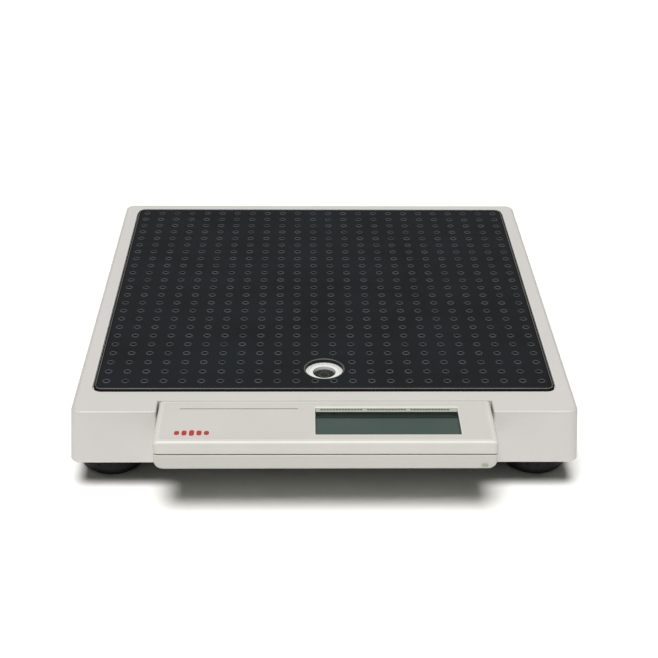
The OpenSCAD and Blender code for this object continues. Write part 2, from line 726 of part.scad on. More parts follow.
// Rocking cover: shell, window opening, pads over the plungers and the hinge lugs
module key_cover() color("#d3d1ca") difference() {
    union() {
        difference() {
            pod_solid(seam_z, rim_z, 0);
            pod_solid(seam_z - over, rim_z - pod_wall, pod_wall);
        }
        for (x = [-plunger_x, plunger_x]) post(x, plunger_y, 10, rim_z - pod_wall - pad_h, rim_z - pod_wall + over);
        for (e = pivot_ends) slab(0, e[0] + e[1] * lug_t / 2, lug_w, lug_t, pivot_z - 3, rim_z - pod_wall + over);
    }
    slab(window_x, window_y, window_w, window_l, rim_z - 2 * pod_wall, rim_z + over);
    for (e = pivot_ends) translate([0, e[0] + e[1] * lug_t / 2, pivot_z])
        rotate([90, 0, 0]) cylinder(d = pin_d, h = lug_t + 2 * over, center = true);
}

// Clear pane, let in from below: its flange is wider than the opening
module display_window() color("#8c948c", 0.4) {
    slab(window_x, window_y, window_w - 0.3, window_l - 0.3, rim_z - pod_wall, rim_z - 0.5);
    slab(window_x, window_y, window_w + 5, window_l + 5, pane_flange_z, rim_z - pod_wall);
}

// Pale strip on the pane, along its rear edge
module label_strip() color("#b9c0ae")
    slab(window_x, window_y + (window_l - label_l) / 2 - 0.2, window_w - 0.4, label_l, rim_z - 0.5, rim_z - 0.5 + label_t);

module pivot_pins() color("#b4b8bb") for (e = pivot_ends) translate([0, e[0] + e[1] * 2.6, pivot_z])
    rotate([90, 0, 0]) cylinder(d = pin_d, h = 5.4, center = true);

// Plunger with the collar that its spring pushes up against
module plunger(side) color("#e4e2da") {
    post(side * plunger_x, plunger_y, plunger_d, button_top + switch_gap, plunger_top);
    post(side * plunger_x, plunger_y, 8.4, plunger_top - 1.5, plunger_top - 0.5);
}

module return_spring(side) color("#b4b8bb") translate([side * plunger_x, plunger_y, 0])
    coil(3.4, 3.4, 0.6, guide_top, plunger_top - 1.5, 3);

// ---------------------------------------------------------------- feet

// Rubber sole, domed outwards, snapped over the flange at the foot of the stud
module sole(x, y) color("#1d1e20") translate([x, y, 0]) rotate_extrude() polygon(concat(
    [[0, 0]], arc(sole_r - 0.5, 6.2, 6.2, -90, -9.3, 6),
    [[foot_pin_d / 2 + run_gap, sole_top], [foot_pin_d / 2 + run_gap, 3.6], [5, 3.6], [5, 1.9], [0, 1.9]]
));

// Adjusting wheel with grip flutes round its rim, and a six-sided socket for the stud
module wheel(x, y) color("#232427") translate([x, y, 0]) difference() {
    rotate_extrude() polygon(concat(
        [[0, wheel_z]], arc(wheel_r - 2, wheel_z + 2, 2, -60, 0, 4), arc(wheel_r - 2, wheel_top - 2, 2, 0, 90, 4), [[0, wheel_top]]
    ));
    cylinder(d = stud_d, h = 2 * wheel_top, center = true);
    translate([0, 0, wheel_z + 4]) cylinder(d = hex_flats / cos(30), h = wheel_top, $fn = 6);
    for (i = [0 : flute_count - 1]) rotate([0, 0, 360 * i / flute_count])
        translate([wheel_r + 1.2, 0, wheel_z + 3.5]) cylinder(r = 2, h = wheel_top, $fn = 24);
}

// Threaded stud: plain outer diameter, six-sided head in the wheel, pin and flange below
module stud(x, y) color("#b4b8bb") translate([x, y, 0]) {
    cylinder_between(9, 2, 3.3);
    cylinder_between(foot_pin_d, 3.3, wheel_z);
    cylinder_between(stud_d, wheel_z, stud_top);
    translate([0, 0, wheel_z + 4]) cylinder(d = hex_flats / cos(30), h = 5, $fn = 6);
}

module cylinder_between(d, z0, z1) {
    translate([0, 0, z0]) cylinder(d = d, h = z1 - z0);
}

// ---------------------------------------------------------------- what is drawn

top_cover();
platform_mat();
platform_plate();
stiffener(-1);  // left_stiffener
stiffener(1);  // right_stiffener
bottom_cover();
plate_screws();
bottom_cover_screws();
load_cell(-foot_x, front_foot_y, 1);  // front_left_load_cell
load_cell(foot_x, front_foot_y, 1);  // front_right_load_cell
load_cell(-foot_x, rear_foot_y, -1);  // rear_left_load_cell
load_cell(foot_x, rear_foot_y, -1);  // rear_right_load_cell
load_cell_spacers();
load_cell_screws();
gauge_covers();
level_housing();
level_vial();
level_fluid();
level_bubble();
main_board();
main_board_parts();
main_board_screws();
sensor_leads();
display_ribbon();
battery_leads();
batteries();
battery_contacts();
battery_lid();
pod_base();
pod_screws();
display_board();
display_board_screws();
key_switches();
plunger_guides();
lcd_frame();
lcd_glass();
contact_strips();
key_cover();
display_window();
label_strip();
pivot_pins();
plunger(-1);  // left_plunger
plunger(1);  // right_plunger
return_spring(-1);  // left_spring
return_spring(1);  // right_spring
sole(-foot_x, front_foot_y);  // front_left_sole
sole(foot_x, front_foot_y);  // front_right_sole
sole(-foot_x, rear_foot_y);  // rear_left_sole
sole(foot_x, rear_foot_y);  // rear_right_sole
wheel(-foot_x, front_foot_y);  // front_left_wheel
wheel(foot_x, front_foot_y);  // front_right_wheel
wheel(-foot_x, rear_foot_y);  // rear_left_wheel
wheel(foot_x, rear_foot_y);  // rear_right_wheel
stud(-foot_x, front_foot_y);  // front_left_stud
stud(foot_x, front_foot_y);  // front_right_stud
stud(-foot_x, rear_foot_y);  // rear_left_stud
stud(foot_x, rear_foot_y);  // rear_right_stud
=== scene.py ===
"""Looks of the portable platform scale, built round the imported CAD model.

Shapes are written in millimetres in the CAD's frame and turned into metres when a piece is made.
"""

import json
import math

import bmesh
import bpy
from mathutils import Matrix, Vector, geometry


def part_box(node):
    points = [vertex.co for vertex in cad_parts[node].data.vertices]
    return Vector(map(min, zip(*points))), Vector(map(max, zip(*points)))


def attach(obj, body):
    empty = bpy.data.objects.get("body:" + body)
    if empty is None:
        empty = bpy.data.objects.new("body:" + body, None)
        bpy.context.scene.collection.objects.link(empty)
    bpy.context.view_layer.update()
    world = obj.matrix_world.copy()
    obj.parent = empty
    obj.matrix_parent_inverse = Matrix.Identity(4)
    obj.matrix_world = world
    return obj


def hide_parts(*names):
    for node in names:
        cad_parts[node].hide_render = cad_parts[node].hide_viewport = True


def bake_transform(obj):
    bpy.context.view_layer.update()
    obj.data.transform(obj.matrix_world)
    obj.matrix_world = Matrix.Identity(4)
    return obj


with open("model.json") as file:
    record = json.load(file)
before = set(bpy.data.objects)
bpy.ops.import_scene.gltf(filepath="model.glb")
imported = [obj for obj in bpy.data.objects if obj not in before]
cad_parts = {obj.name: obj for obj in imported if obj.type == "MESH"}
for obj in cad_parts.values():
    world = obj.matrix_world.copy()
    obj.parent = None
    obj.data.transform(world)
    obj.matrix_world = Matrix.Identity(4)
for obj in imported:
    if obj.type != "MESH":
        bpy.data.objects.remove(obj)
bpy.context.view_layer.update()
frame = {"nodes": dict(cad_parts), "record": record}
NODES = frame["nodes"]
CORNERS = ("front_left", "front_right", "rear_left", "rear_right")


# ------------------------------------------------------------------ sizes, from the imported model


def span(node):
    """Lowest and highest corner of a CAD node, in millimetres."""
    lo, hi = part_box(node)
    return lo * 1000, hi * 1000


COVER_LO, COVER_HI = span("top_cover")
MAT_LO, MAT_HI = span("platform_mat")
POD_LO = span("pod_base")[0]
KEY_LO, KEY_HI = span("key_cover")
FLOOR_LO, FLOOR_HI = span("bottom_cover")
LID_LO, LID_HI = span("battery_lid")
RING_LO, RING_HI = span("level_housing")
PANE_LO, PANE_HI = span("display_window")
STRIP_LO, STRIP_HI = span("label_strip")
LCD_LO, LCD_HI = span("lcd_glass")

SKIRT_Z = COVER_LO.z
RIM_Z = COVER_HI.z
MAT_Z = MAT_LO.z
WALL = 2.5
SKIN_Z = MAT_Z - WALL
LEAN = 2.5
SLOPE = LEAN / (RIM_Z - SKIRT_Z)
CORNER_R = 6.5
NOTCH_R = 1.5
FRONT = COVER_LO.y
BACK = COVER_HI.y
HALF_W = COVER_HI.x
LEVEL = ((RING_LO.x + RING_HI.x) / 2, (RING_LO.y + RING_HI.y) / 2)
POD_W = KEY_HI.x
POD_FRONT = KEY_LO.y
POD_BACK = KEY_HI.y
POD_Z = POD_LO.z
SEAM_Z = RIM_Z - 8.7
BASE_TOP = SEAM_Z - 0.9
POD_FLOOR = POD_Z + 2
NOTCH_X = POD_W + 0.8
NOTCH_BACK = POD_BACK + 0.5
NOTCH_Z = POD_Z - 0.4
PIVOT_Z = POD_FLOOR + 5.8
FLOOR_Z = SKIRT_Z + 3.4
FLOOR_TOP = FLOOR_Z + 2.2
BODY_MID = (FRONT + BACK) / 2
FOOT_X = 138
FOOT_Y = {"front": FRONT + 37, "rear": FRONT + 287}
PLATE_SCREWS = [(x, y) for x in (-FOOT_X, FOOT_X) for y in (-95, -28, 60, 127)]
BOSSES = [(-125, FRONT + 9), (125, FRONT + 9), (-112, BODY_MID), (112, BODY_MID)] + [
    (x, BACK - 10) for x in (-140, -50, 50, 140)
]
POD_SCREWS = [(x, POD_BACK - 6.3) for x in (-75, -22, 22, 75)]


# ------------------------------------------------------------------ mesh tools


def turn(v, degrees):
    """A 2-D vector turned counter-clockwise."""
    a = math.radians(degrees)
    return (v[0] * math.cos(a) - v[1] * math.sin(a), v[0] * math.sin(a) + v[1] * math.cos(a))


def inside(p, polygon):
    """Whether a 2-D point is inside a polygon."""
    crossings = 0
    for a, b in zip(polygon, polygon[1:] + polygon[:1]):
        if (a.y > p.y) != (b.y > p.y) and p.x < a.x + (p.y - a.y) * (b.x - a.x) / (b.y - a.y):
            crossings += 1
    return crossings % 2 == 1


class Station:
    """A point of an outline, with the direction into the material, its lean and its edge radius."""

    def __init__(self, p, n, lean=(0, 0), edge=0.0):
        self.p, self.n, self.lean, self.edge = p, n, lean, edge

    def at(self, z, inset=0.0, z0=0.0):
        h = z - z0
        return (
            self.p[0] + self.lean[0] * h + self.n[0] * inset,
            self.p[1] + self.lean[1] * h + self.n[1] * inset,
            z,
        )


def outline(corners, steps=6):
    """Stations of a closed path, counter-clockwise round the material. Each corner is x, y, radius."""
    made = []
    count = len(corners)
    for i, (x, y, r) in enumerate(corners):
        before, after = corners[i - 1], corners[(i + 1) % count]
        d0 = Vector((x - before[0], y - before[1])).normalized()
        d1 = Vector((after[0] - x, after[1] - y)).normalized()
        left = d0.x * d1.y - d0.y * d1.x > 0
        n0 = turn(d0, 90)
        start = (x - r * d0.x, y - r * d0.y)
        sign = 1 if left else -1
        c = (start[0] + sign * r * n0[0], start[1] + sign * r * n0[1])
        for k in range(steps + 1):
            n = turn(n0, sign * 90 * k / steps)
            made.append(Station((c[0] - sign * r * n[0], c[1] - sign * r * n[1]), n))
    return made


def rectangle(cx, cy, w, l, r, steps=6):
    """Stations of a rounded rectangle round a middle, with its width, length and corner radius."""
    corners = ((1, -1), (1, 1), (-1, 1), (-1, -1))
    return outline([(cx + u * w / 2, cy + v * l / 2, r) for u, v in corners], steps)


def circle(cx, cy, r, z, count):
    """Points of a level circle, counter-clockwise from its right."""
    angles = [2 * math.pi * k / count for k in range(count)]
    return [(cx + r * math.cos(a), cy + r * math.sin(a), z) for a in angles]


def rounding(steps, first=0):
    """A rounded edge's steps, as the part of its radius left to rise and the part to move inwards."""
    for k in range(first, steps + 1):
        a = math.radians(90 * k / steps)
        yield 1 - math.sin(a), 1 - math.cos(a)


class Shell:
    """Vertices in millimetres and faces of one piece."""

    def __init__(self):
        self.points, self.faces, self.coats = [], [], []

    def coat(self, start, index=1):
        """Faces made since start get another of the piece's materials."""
        self.coats.append((start, len(self.faces), index))

    def ring(self, points):
        start = len(self.points)
        self.points += [tuple(p) for p in points]
        return list(range(start, len(self.points)))

    def bridge(self, a, b, closed=True, skip=()):
        count = len(a)
        for i in range(count if closed else count - 1):
            if i not in skip:
                j = (i + 1) % count
                self.faces.append((a[i], a[j], b[j], b[i]))

    def stack(self, rings, closed=True):
        for a, b in zip(rings, rings[1:]):
            self.bridge(a, b, closed)

    def fill(self, loops, drop=2):
        """Flat face inside the first loop and outside the others, seen along the dropped axis."""
        keep = [i for i in range(3) if i != drop]
        index = [i for loop in loops for i in loop]
        flat = [Vector((self.points[i][keep[0]], self.points[i][keep[1]])) for i in index]
        edges, start = [], 0
        for loop in loops:
            count = len(loop)
            edges += [(start + i, start + (i + 1) % count) for i in range(count)]
            start += count
        verts, _, faces, origin, _, _ = geometry.delaunay_2d_cdt(flat, edges, [], 1, 1e-6)
        if len(verts) > len(flat):
            raise ValueError("a flat face's loops cross each other")
        owner = [k for k, loop in enumerate(loops) for _ in loop]
        starts = [owner.index(k) for k in range(len(loops))]
        for face in faces:
            at = [origin[v][0] for v in face]
            k = owner[at[0]]
            if k and owner[at[1]] == k and owner[at[2]] == k:
                hole = flat[starts[k] : starts[k] + len(loops[k])]
                if inside(sum((flat[i] for i in at), Vector((0, 0))) / 3, hole):
                    continue
            self.faces.append(tuple(index[i] for i in at))

    def rows(self, stations, profile):
        """Rings of one outline, one for each inset and height of the profile."""
        return [self.ring([s.at(z, inset) for s in stations]) for inset, z in profile]

    def round_rows(self, x, y, profile, count):
        """Round rings, one for each radius and height of the profile."""
        return [self.ring(circle(x, y, r, z, count)) for r, z in profile]

    def tube(self, x, y, outer, bore, z0, z1, count=20):
        """Upright tube."""
        self.turned([(outer, z0), (outer, z1), (bore, z1), (bore, z0)], x, y, count)

    def fan(self, ring, middle):
        self.points.append(tuple(middle))
        top = len(self.points) - 1
        for i, a in enumerate(ring):
            self.faces.append((a, ring[(i + 1) % len(ring)], top))

    def turned(self, profile, x=0.0, y=0.0, count=48):
        """Solid of revolution about an upright axis. A radius of 0 closes on the axis."""
        rings = []
        for r, z in profile:
            rings.append(self.ring([(x, y, z)] if r == 0 else circle(x, y, r, z, count)))
        for a, b in zip(rings, rings[1:]):
            if len(a) == 1 and len(b) > 1:
                self.faces += [(a[0], b[(i + 1) % count], b[i]) for i in range(count)]
            elif len(b) == 1 and len(a) > 1:
                self.faces += [(a[i], a[(i + 1) % count], b[0]) for i in range(count)]
            elif len(a) > 1:
                self.bridge(a, b)
        if len(rings[0]) > 1 and len(rings[-1]) > 1:
            self.bridge(rings[-1], rings[0])

    def block(self, stations, z0, z1, low=0.0, high=0.0, steps=3):
        """Closed block on an outline, with its lower and upper edges rounded."""
        rings = []
        for k in range(steps + 1 if low else 1):
            a = math.radians(90 * k / steps)
            inset = low * (1 - math.sin(a)) if low else 0
            rings.append(self.ring([s.at(z0 + low * (1 - math.cos(a)), inset) for s in stations]))
        for k in range(steps + 1 if high else 1):
            a = math.radians(90 * k / steps)
            inset = high * (1 - math.cos(a)) if high else 0
            rings.append(self.ring([s.at(z1 - high * (1 - math.sin(a)), inset) for s in stations]))
        self.stack(rings)
        self.fill([rings[0]])
        self.fill([rings[-1]])

    def prism(self, loops, t0, t1, axis=2):
        """Straight prism with holes. Loops are 2-D; the axis is the direction it is drawn along."""
        low, high = [], []
        for loop in loops:
            for t, made in ((t0, low), (t1, high)):
                made.append(self.ring([place(u, v, t, axis) for u, v in loop]))
            self.bridge(low[-1], high[-1])
        self.fill(low, axis)
        self.fill(high, axis)

    def piece(self, name, body, slot, stands_for=(), sharp=38, coats=()):
        mesh = bpy.data.meshes.new(name)
        mesh.from_pydata([(x / 1000, y / 1000, z / 1000) for x, y, z in self.points], [], self.faces)
        for start, end, index in self.coats:
            for k in range(start, end):
                mesh.polygons[k].material_index = index
        bm = bmesh.new()
        bm.from_mesh(mesh)
        bmesh.ops.dissolve_degenerate(bm, dist=1e-7, edges=bm.edges)
        bmesh.ops.recalc_face_normals(bm, faces=bm.faces)
        bm.to_mesh(mesh)
        bm.free()
        mesh.shade_smooth()
        mesh.set_sharp_from_angle(angle=math.radians(sharp))
        made = bpy.data.objects.new(name, mesh)
        bpy.context.scene.collection.objects.link(made)
        weigh(made)
        for each in (slot, *coats):
            mesh.materials.append(MATERIALS[each])
        if body:
            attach(made, body)
        if stands_for:
            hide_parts(*stands_for)
        slot if slot in SLOTS else LOOK_SLOT[slot]
        return made


def place(u, v, t, axis):
    return {0: (t, u, v), 1: (u, t, v), 2: (u, v, t)}[axis]


def weigh(made):
    """Large flat faces keep flat shading, and the rounded edges between them stay smooth."""
    weighted = made.modifiers.new("weighted", "WEIGHTED_NORMAL")
    weighted.mode = "FACE_AREA"
    weighted.weight = 50
    weighted.keep_sharp = True


# ------------------------------------------------------------------ materials

MATERIALS = {}
SLOTS = [m["slot"] for m in frame["record"]["materials"]]
PRINTS = ("print_red", "print_grey", "mark_oval")
LOOK_SLOT = {"pod_lower": "pod_plastic", **dict.fromkeys(PRINTS, "label")}  # looks that share a CAD slot


def srgb(r, g, b):
    """Colour from 0-255 screen values."""
    shares = [c / 255 for c in (r, g, b)]
    return (*(((c + 0.055) / 1.055) ** 2.4 if c > 10 / 255 else c / 12.92 for c in shares), 1.0)


def surface(
    slot,
    colour,
    rough,
    second=None,
    spots=60,
    grain=0.0,
    grain_scale=1800,
    metal=0.0,
    rough_spread=0.06,
    stretch=(1, 1, 1),
    **sockets,
):
    """Material whose colour and roughness vary a little, with a fine grain in its bump."""
    made = bpy.data.materials.new(slot)
    made.use_nodes = True
    tree = made.node_tree
    shader = tree.nodes["Principled BSDF"]
    shader.inputs["Metallic"].default_value = metal
    for key, value in sockets.items():
        shader.inputs[key.replace("_", " ")].default_value = value
    where = tree.nodes.new("ShaderNodeTexCoord")
    scaled = tree.nodes.new("ShaderNodeMapping")
    scaled.inputs["Scale"].default_value = stretch
    tree.links.new(where.outputs["Object"], scaled.inputs["Vector"])
    cloud = tree.nodes.new("ShaderNodeTexNoise")
    cloud.inputs["Scale"].default_value = spots
    cloud.inputs["Detail"].default_value = 5
    tree.links.new(scaled.outputs["Vector"], cloud.inputs["Vector"])
    ramp = tree.nodes.new("ShaderNodeValToRGB")
    ramp.color_ramp.elements[0].position = 0.35
    ramp.color_ramp.elements[1].position = 0.65
    ramp.color_ramp.elements[0].color = colour
    ramp.color_ramp.elements[1].color = second or tuple(c * 0.965 for c in colour[:3]) + (1.0,)
    tree.links.new(cloud.outputs["Fac"], ramp.inputs["Fac"])
    tree.links.new(ramp.outputs["Color"], shader.inputs["Base Color"])
    worn = tree.nodes.new("ShaderNodeMapRange")
    worn.inputs["To Min"].default_value = rough - rough_spread
    worn.inputs["To Max"].default_value = rough + rough_spread
    tree.links.new(cloud.outputs["Fac"], worn.inputs["Value"])
    tree.links.new(worn.outputs["Result"], shader.inputs["Roughness"])
    if grain:
        fine = tree.nodes.new("ShaderNodeTexNoise")
        fine.inputs["Scale"].default_value = grain_scale
        fine.inputs["Detail"].default_value = 3
        tree.links.new(scaled.outputs["Vector"], fine.inputs["Vector"])
        bump = tree.nodes.new("ShaderNodeBump")
        bump.inputs["Strength"].default_value = 0.6
        bump.inputs["Distance"].default_value = grain
        tree.links.new(fine.outputs["Fac"], bump.inputs["Height"])
        tree.links.new(bump.outputs["Normal"], shader.inputs["Normal"])
    MATERIALS[slot] = made
    return made


def make_materials():
    surface("housing_plastic", srgb(193, 191, 189), 0.45, srgb(191, 189, 186), spots=25, grain=2e-5)
    # painted shade: the housing's plastic made darker for its top edge's rounding, to dim the highlight
    # there
    surface("housing_edge_painted_shade", srgb(182, 180, 176), 0.5, srgb(180, 178, 173), spots=25, grain=1e-5)
    # painted highlight: a lighter plastic for the recess edge, the lower edge and the pod window's edge
    surface("edge_painted_highlight", srgb(212, 210, 206), 0.35, srgb(208, 206, 202), spots=25, grain=1e-5)
    surface("pod_plastic", srgb(197, 196, 191), 0.42, srgb(194, 193, 188), spots=25, grain=2e-5)
    # painted shade: the pod's plastic made darker for its lower half, which curves under
    surface("pod_lower", srgb(190, 190, 185), 0.42, srgb(187, 187, 182), spots=25, grain=2e-5)
    # painted shade: the pod's plastic made darker for its rounded front and rear edges, to dim their
    # highlight
    surface("pod_edge", srgb(192, 191, 186), 0.45, srgb(189, 188, 183), spots=25, grain=1e-5)
    surface("pod_film", srgb(191, 189, 185), 0.4, srgb(188, 186, 182), spots=25, grain=1e-5)
    surface("dark_plastic", srgb(52, 54, 56), 0.5, srgb(44, 46, 48), spots=40, grain=6e-5,
            grain_scale=1200)
    surface("mat_rubber", srgb(20, 22, 24), 0.6, srgb(23, 27, 31), spots=22, grain=3e-5, grain_scale=1500,
            Specular_IOR_Level=0.2)
    # painted highlight: lighter grey on the small rings' crests and the lip's rear inner slope
    surface("mat_nub_painted_highlight", srgb(58, 60, 64), 0.5, srgb(42, 44, 48), spots=110, grain=2e-5, grain_scale=1500,
            Specular_IOR_Level=0.3)
    # painted shadow: near black in the rings' dents and in the gap between the lip and the housing
    surface("mat_painted_shadow", srgb(7, 8, 9), 0.7, srgb(5, 6, 7), spots=100, Specular_IOR_Level=0.1)
    # painted highlight: lighter grey on the lip's side inner slopes
    surface("mat_side_painted_highlight", srgb(92, 93, 90), 0.5, srgb(82, 83, 80), spots=60, grain=3e-5, grain_scale=1500,
            Specular_IOR_Level=0.2)
    # painted highlight: lighter grey on the lip's front and the level collar's crest
    surface("mat_lip_painted_highlight", srgb(86, 87, 83), 0.5, srgb(76, 77, 73), spots=60, grain=3e-5, grain_scale=1500,
            Specular_IOR_Level=0.3)
    surface("steel_plate", srgb(168, 172, 175), 0.38, srgb(150, 154, 158), spots=90, metal=1.0,
            stretch=(1, 12, 1))
    surface("screw_steel", srgb(190, 193, 195), 0.3, srgb(170, 173, 176), spots=400, metal=1.0)
    surface("cell_aluminium", srgb(205, 208, 210), 0.34, srgb(190, 193, 196), spots=160, metal=1.0,
            stretch=(10, 1, 1))
    surface("sealing_compound", srgb(226, 222, 208), 0.55, srgb(212, 206, 190), spots=300, grain=8e-5)
    surface("white_plastic", srgb(216, 217, 215), 0.35, srgb(211, 212, 210), spots=120, grain=1e-5)
    # painted shade: grey on the level ring's small step, which is the same white plastic as the rest
    surface("ring_step_painted_shade", srgb(160, 162, 162), 0.4, srgb(152, 154, 154), spots=300, grain=1e-5)
    surface("level_glass", srgb(52, 54, 50), 0.1, srgb(40, 42, 39), spots=500, rough_spread=0.02,
            Alpha=0.6)
    surface("level_liquid", srgb(44, 46, 42), 0.12, srgb(26, 28, 26), spots=600, rough_spread=0.03)
    surface("board", srgb(38, 96, 58), 0.4, srgb(30, 78, 46), spots=500, grain=3e-5)
    surface("wire_sheath", srgb(120, 123, 126), 0.45, srgb(104, 107, 110), spots=300)
    surface("ribbon", srgb(206, 203, 192), 0.5, srgb(170, 168, 160), spots=700, stretch=(6, 0.2, 1))
    surface("battery_case", srgb(66, 72, 82), 0.3, srgb(52, 57, 66), spots=200, metal=0.2)
    surface("contact_metal", srgb(205, 180, 120), 0.28, srgb(188, 160, 104), spots=400, metal=1.0)
    surface("window", srgb(70, 84, 77), 0.05, srgb(66, 80, 74), spots=30, rough_spread=0.015, Alpha=0.14)
    surface("lcd", srgb(84, 97, 93), 0.3, srgb(76, 89, 86), spots=14, rough_spread=0.03)
    surface("contact_rubber", srgb(214, 176, 176), 0.6, srgb(200, 150, 150), spots=900)
    surface("label", srgb(164, 169, 156), 0.4, srgb(157, 162, 148), spots=200)
    surface("foot_rubber", srgb(15, 16, 17), 0.6, srgb(12, 13, 14), spots=200, grain=6e-5,
            grain_scale=900, Specular_IOR_Level=0.25)
    surface("wheel_plastic", srgb(15, 16, 17), 0.55, srgb(12, 13, 14), spots=200, grain=4e-5,
            grain_scale=900, Specular_IOR_Level=0.25)
    surface("print_red", srgb(160, 64, 60), 0.4, srgb(176, 52, 49), spots=300)
    surface("print_grey", srgb(84, 84, 80), 0.45, srgb(76, 76, 72), spots=300)
    surface("mark_oval", srgb(158, 160, 142), 0.45, srgb(148, 150, 132), spots=300)


# ------------------------------------------------------------------ housing


def leaning(stations, turn_in):
    """Gives the outline's leaning sides their lean. The notch's own sides stand upright."""
    for i, s in enumerate(stations):
        if i in turn_in:
            s.lean = (0, SLOPE if turn_in[i] else 0)
        else:
            s.lean = (-SLOPE if s.p[0] > 0 else SLOPE, SLOPE if s.p[1] < BODY_MID else -SLOPE)


def notched_block(shell, body, notch, z0, z_floor, wall_top, floor_holes=()):
    """Walls between z0 and wall_top(station), with a front notch whose floor is at z_floor.

    The body's stations start at the front right corner. The notch's start at its front left one.
    Gives the lower ring, which is the body's only, and the upper ring round the notch as well.
    """
    low = shell.ring([s.at(z0, 0, SKIRT_Z) for s in body])
    high = shell.ring([s.at(wall_top(s), 0, SKIRT_Z) for s in body])
    shell.bridge(low, high, closed=False)
    foot = shell.ring([s.at(z_floor, 0, SKIRT_Z) for s in notch])
    head = shell.ring([s.at(wall_top(s), 0, SKIRT_Z) for s in notch])
    half = len(notch) // 2
    shell.bridge(foot, head, closed=False, skip=(half - 1,))
    shell.fill([[low[0], high[0], head[-1], foot[-1], foot[0], head[0], high[-1], low[-1]]], drop=1)
    holes = [shell.ring(h) for h in floor_holes]
    shell.fill([foot, *holes])
    back = [foot[half - 1], foot[half], head[half], head[half - 1]]
    return low, high + head, holes, back


def make_top_cover():
    shell = Shell()
    # coat 1 is painted shade on the top edge's rounding, coat 2 painted highlight on the recess and lower
    # edges
    shaded_edge, highlight_edge = 1, 2
    top_edge, lower_edge, notch_edge = 2.0, 1.0, 0.8
    x, steps = HALF_W, 7
    size = steps + 1  # stations in a corner

    def stations(off, corner, notch_r):
        path = outline(
            [(x - off, FRONT + off, corner), (x - off, BACK - off, corner), (-x + off, BACK - off, corner)]
            + [(-x + off, FRONT + off, corner), (-NOTCH_X - off, FRONT + off, notch_r)]
            + [(-NOTCH_X - off, NOTCH_BACK + off, 0.8), (NOTCH_X + off, NOTCH_BACK + off, 0.8)]
            + [(NOTCH_X + off, FRONT + off, notch_r)],
            steps,
        )
        # after the body's four corners come the notch's, whose first and last lean with the front
        flags = {}
        for i in range(4 * size, 8 * size):
            flags[i] = i < 5 * size or i >= 7 * size
        leaning(path, flags)
        return path[: 4 * size], path[4 * size :]

    body, notch = stations(0, CORNER_R, NOTCH_R)
    for s in body:
        s.edge = top_edge
    for i, s in enumerate(notch):
        part, k = divmod(i, size)
        share = k / steps
        wider = NOTCH_R - notch_edge
        s.edge = notch_edge + {0: wider * (1 - share), 3: wider * share}.get(part, 0)

    pod_holes = [circle(px, py, 1.7, NOTCH_Z, 16) for px, py in POD_SCREWS]
    low, high, outer_holes, back = notched_block(
        shell, body, notch, SKIRT_Z + lower_edge, NOTCH_Z, lambda s: RIM_Z - s.edge, pod_holes
    )
    rings = [high]
    # the top edge's rounding gets painted shade, a darker plastic that dims its highlight
    edge_start = len(shell.faces)
    full = body + notch
    for down, inset in rounding(5, 1):
        rings.append(shell.ring([s.at(RIM_Z - s.edge * down, s.edge * inset, SKIRT_Z) for s in full]))
    shell.stack(rings)
    shell.coat(edge_start, shaded_edge)

    # the mat's recess
    mat_mid = (MAT_LO.y + MAT_HI.y) / 2
    hole = rectangle(0, mat_mid, MAT_HI.x * 2 + 1, MAT_HI.y - MAT_LO.y + 1, 6.5, 7)
    edge = 0.6
    recess = shell.rows(hole, [(-edge * inset, RIM_Z - edge * down) for inset, down in rounding(4)])
    recess += shell.rows(hole, [(0, MAT_Z)])
    # the recess's rounded edge gets painted highlight, a lighter plastic
    edge_start = len(shell.faces)
    shell.stack(recess[:-1])
    shell.coat(edge_start, highlight_edge)
    shell.stack(recess[-2:])
    shell.fill([rings[-1], recess[0]])

    # the level's seat and the countersunk screw holes, through the skin
    seat_profile = ((12.4, MAT_Z), (12.4, MAT_Z - 1), (10.4, MAT_Z - 1), (10.4, SKIN_Z))
    seat = shell.round_rows(*LEVEL, seat_profile, 48)
    shell.stack(seat)
    sunk = []
    for px, py in PLATE_SCREWS:
        rows = shell.round_rows(px, py, ((4.2, MAT_Z), (2.2, MAT_Z - 2), (2.2, SKIN_Z)), 20)
        shell.stack(rows)
        sunk.append(rows)
    shell.fill([recess[-1], seat[0]] + [rows[0] for rows in sunk])

    # the lower edge and the inside
    bottom = [low]
    for up, inset in rounding(3, 1):
        z = SKIRT_Z + lower_edge * up
        bottom.append(shell.ring([s.at(z, lower_edge * inset, SKIRT_Z) for s in body]))
    # the lower edge's rounding gets painted highlight, a lighter plastic
    edge_start = len(shell.faces)
    shell.stack(bottom)
    shell.coat(edge_start, highlight_edge)
    inner_body, inner_notch = stations(WALL, CORNER_R - WALL, 0.6)
    under = [circle(px, py, 1.7, NOTCH_Z - WALL, 16) for px, py in POD_SCREWS]
    inner_low, inner_high, inner_holes, inner_back = notched_block(
        shell, inner_body, inner_notch, SKIRT_Z, NOTCH_Z - WALL, lambda s: SKIN_Z, under
    )
    shell.bridge(bottom[-1], inner_low)
    shell.fill([inner_high, seat[-1]] + [rows[-1] for rows in sunk])
    for a, b in zip(outer_holes, inner_holes):
        shell.bridge(a, b)

    # the ribbon's slot through the wall behind the pod
    slot = [(-51, 43.1), (-29, 43.1), (-29, 46.1), (-51, 46.1)]
    near = shell.ring([(u, NOTCH_BACK, v) for u, v in slot])
    far = shell.ring([(u, NOTCH_BACK + WALL, v) for u, v in slot])
    shell.bridge(near, far)
    shell.fill([back, near], drop=1)
    shell.fill([inner_back, far], drop=1)

    boss_top, hole_top, hole_r = SKIN_Z + 0.6, FLOOR_TOP + 13, 1.53
    boss = [(0, boss_top), (4, boss_top), (4, FLOOR_TOP)]
    boss += [(hole_r, FLOOR_TOP), (hole_r, hole_top), (0, hole_top)]
    for px, py in BOSSES:
        shell.turned(boss, px, py, 24)
    shell.piece("top_cover_shell", "chassis", "housing_plastic", ["top_cover"],
                coats=("housing_edge_painted_shade", "edge_painted_highlight"))


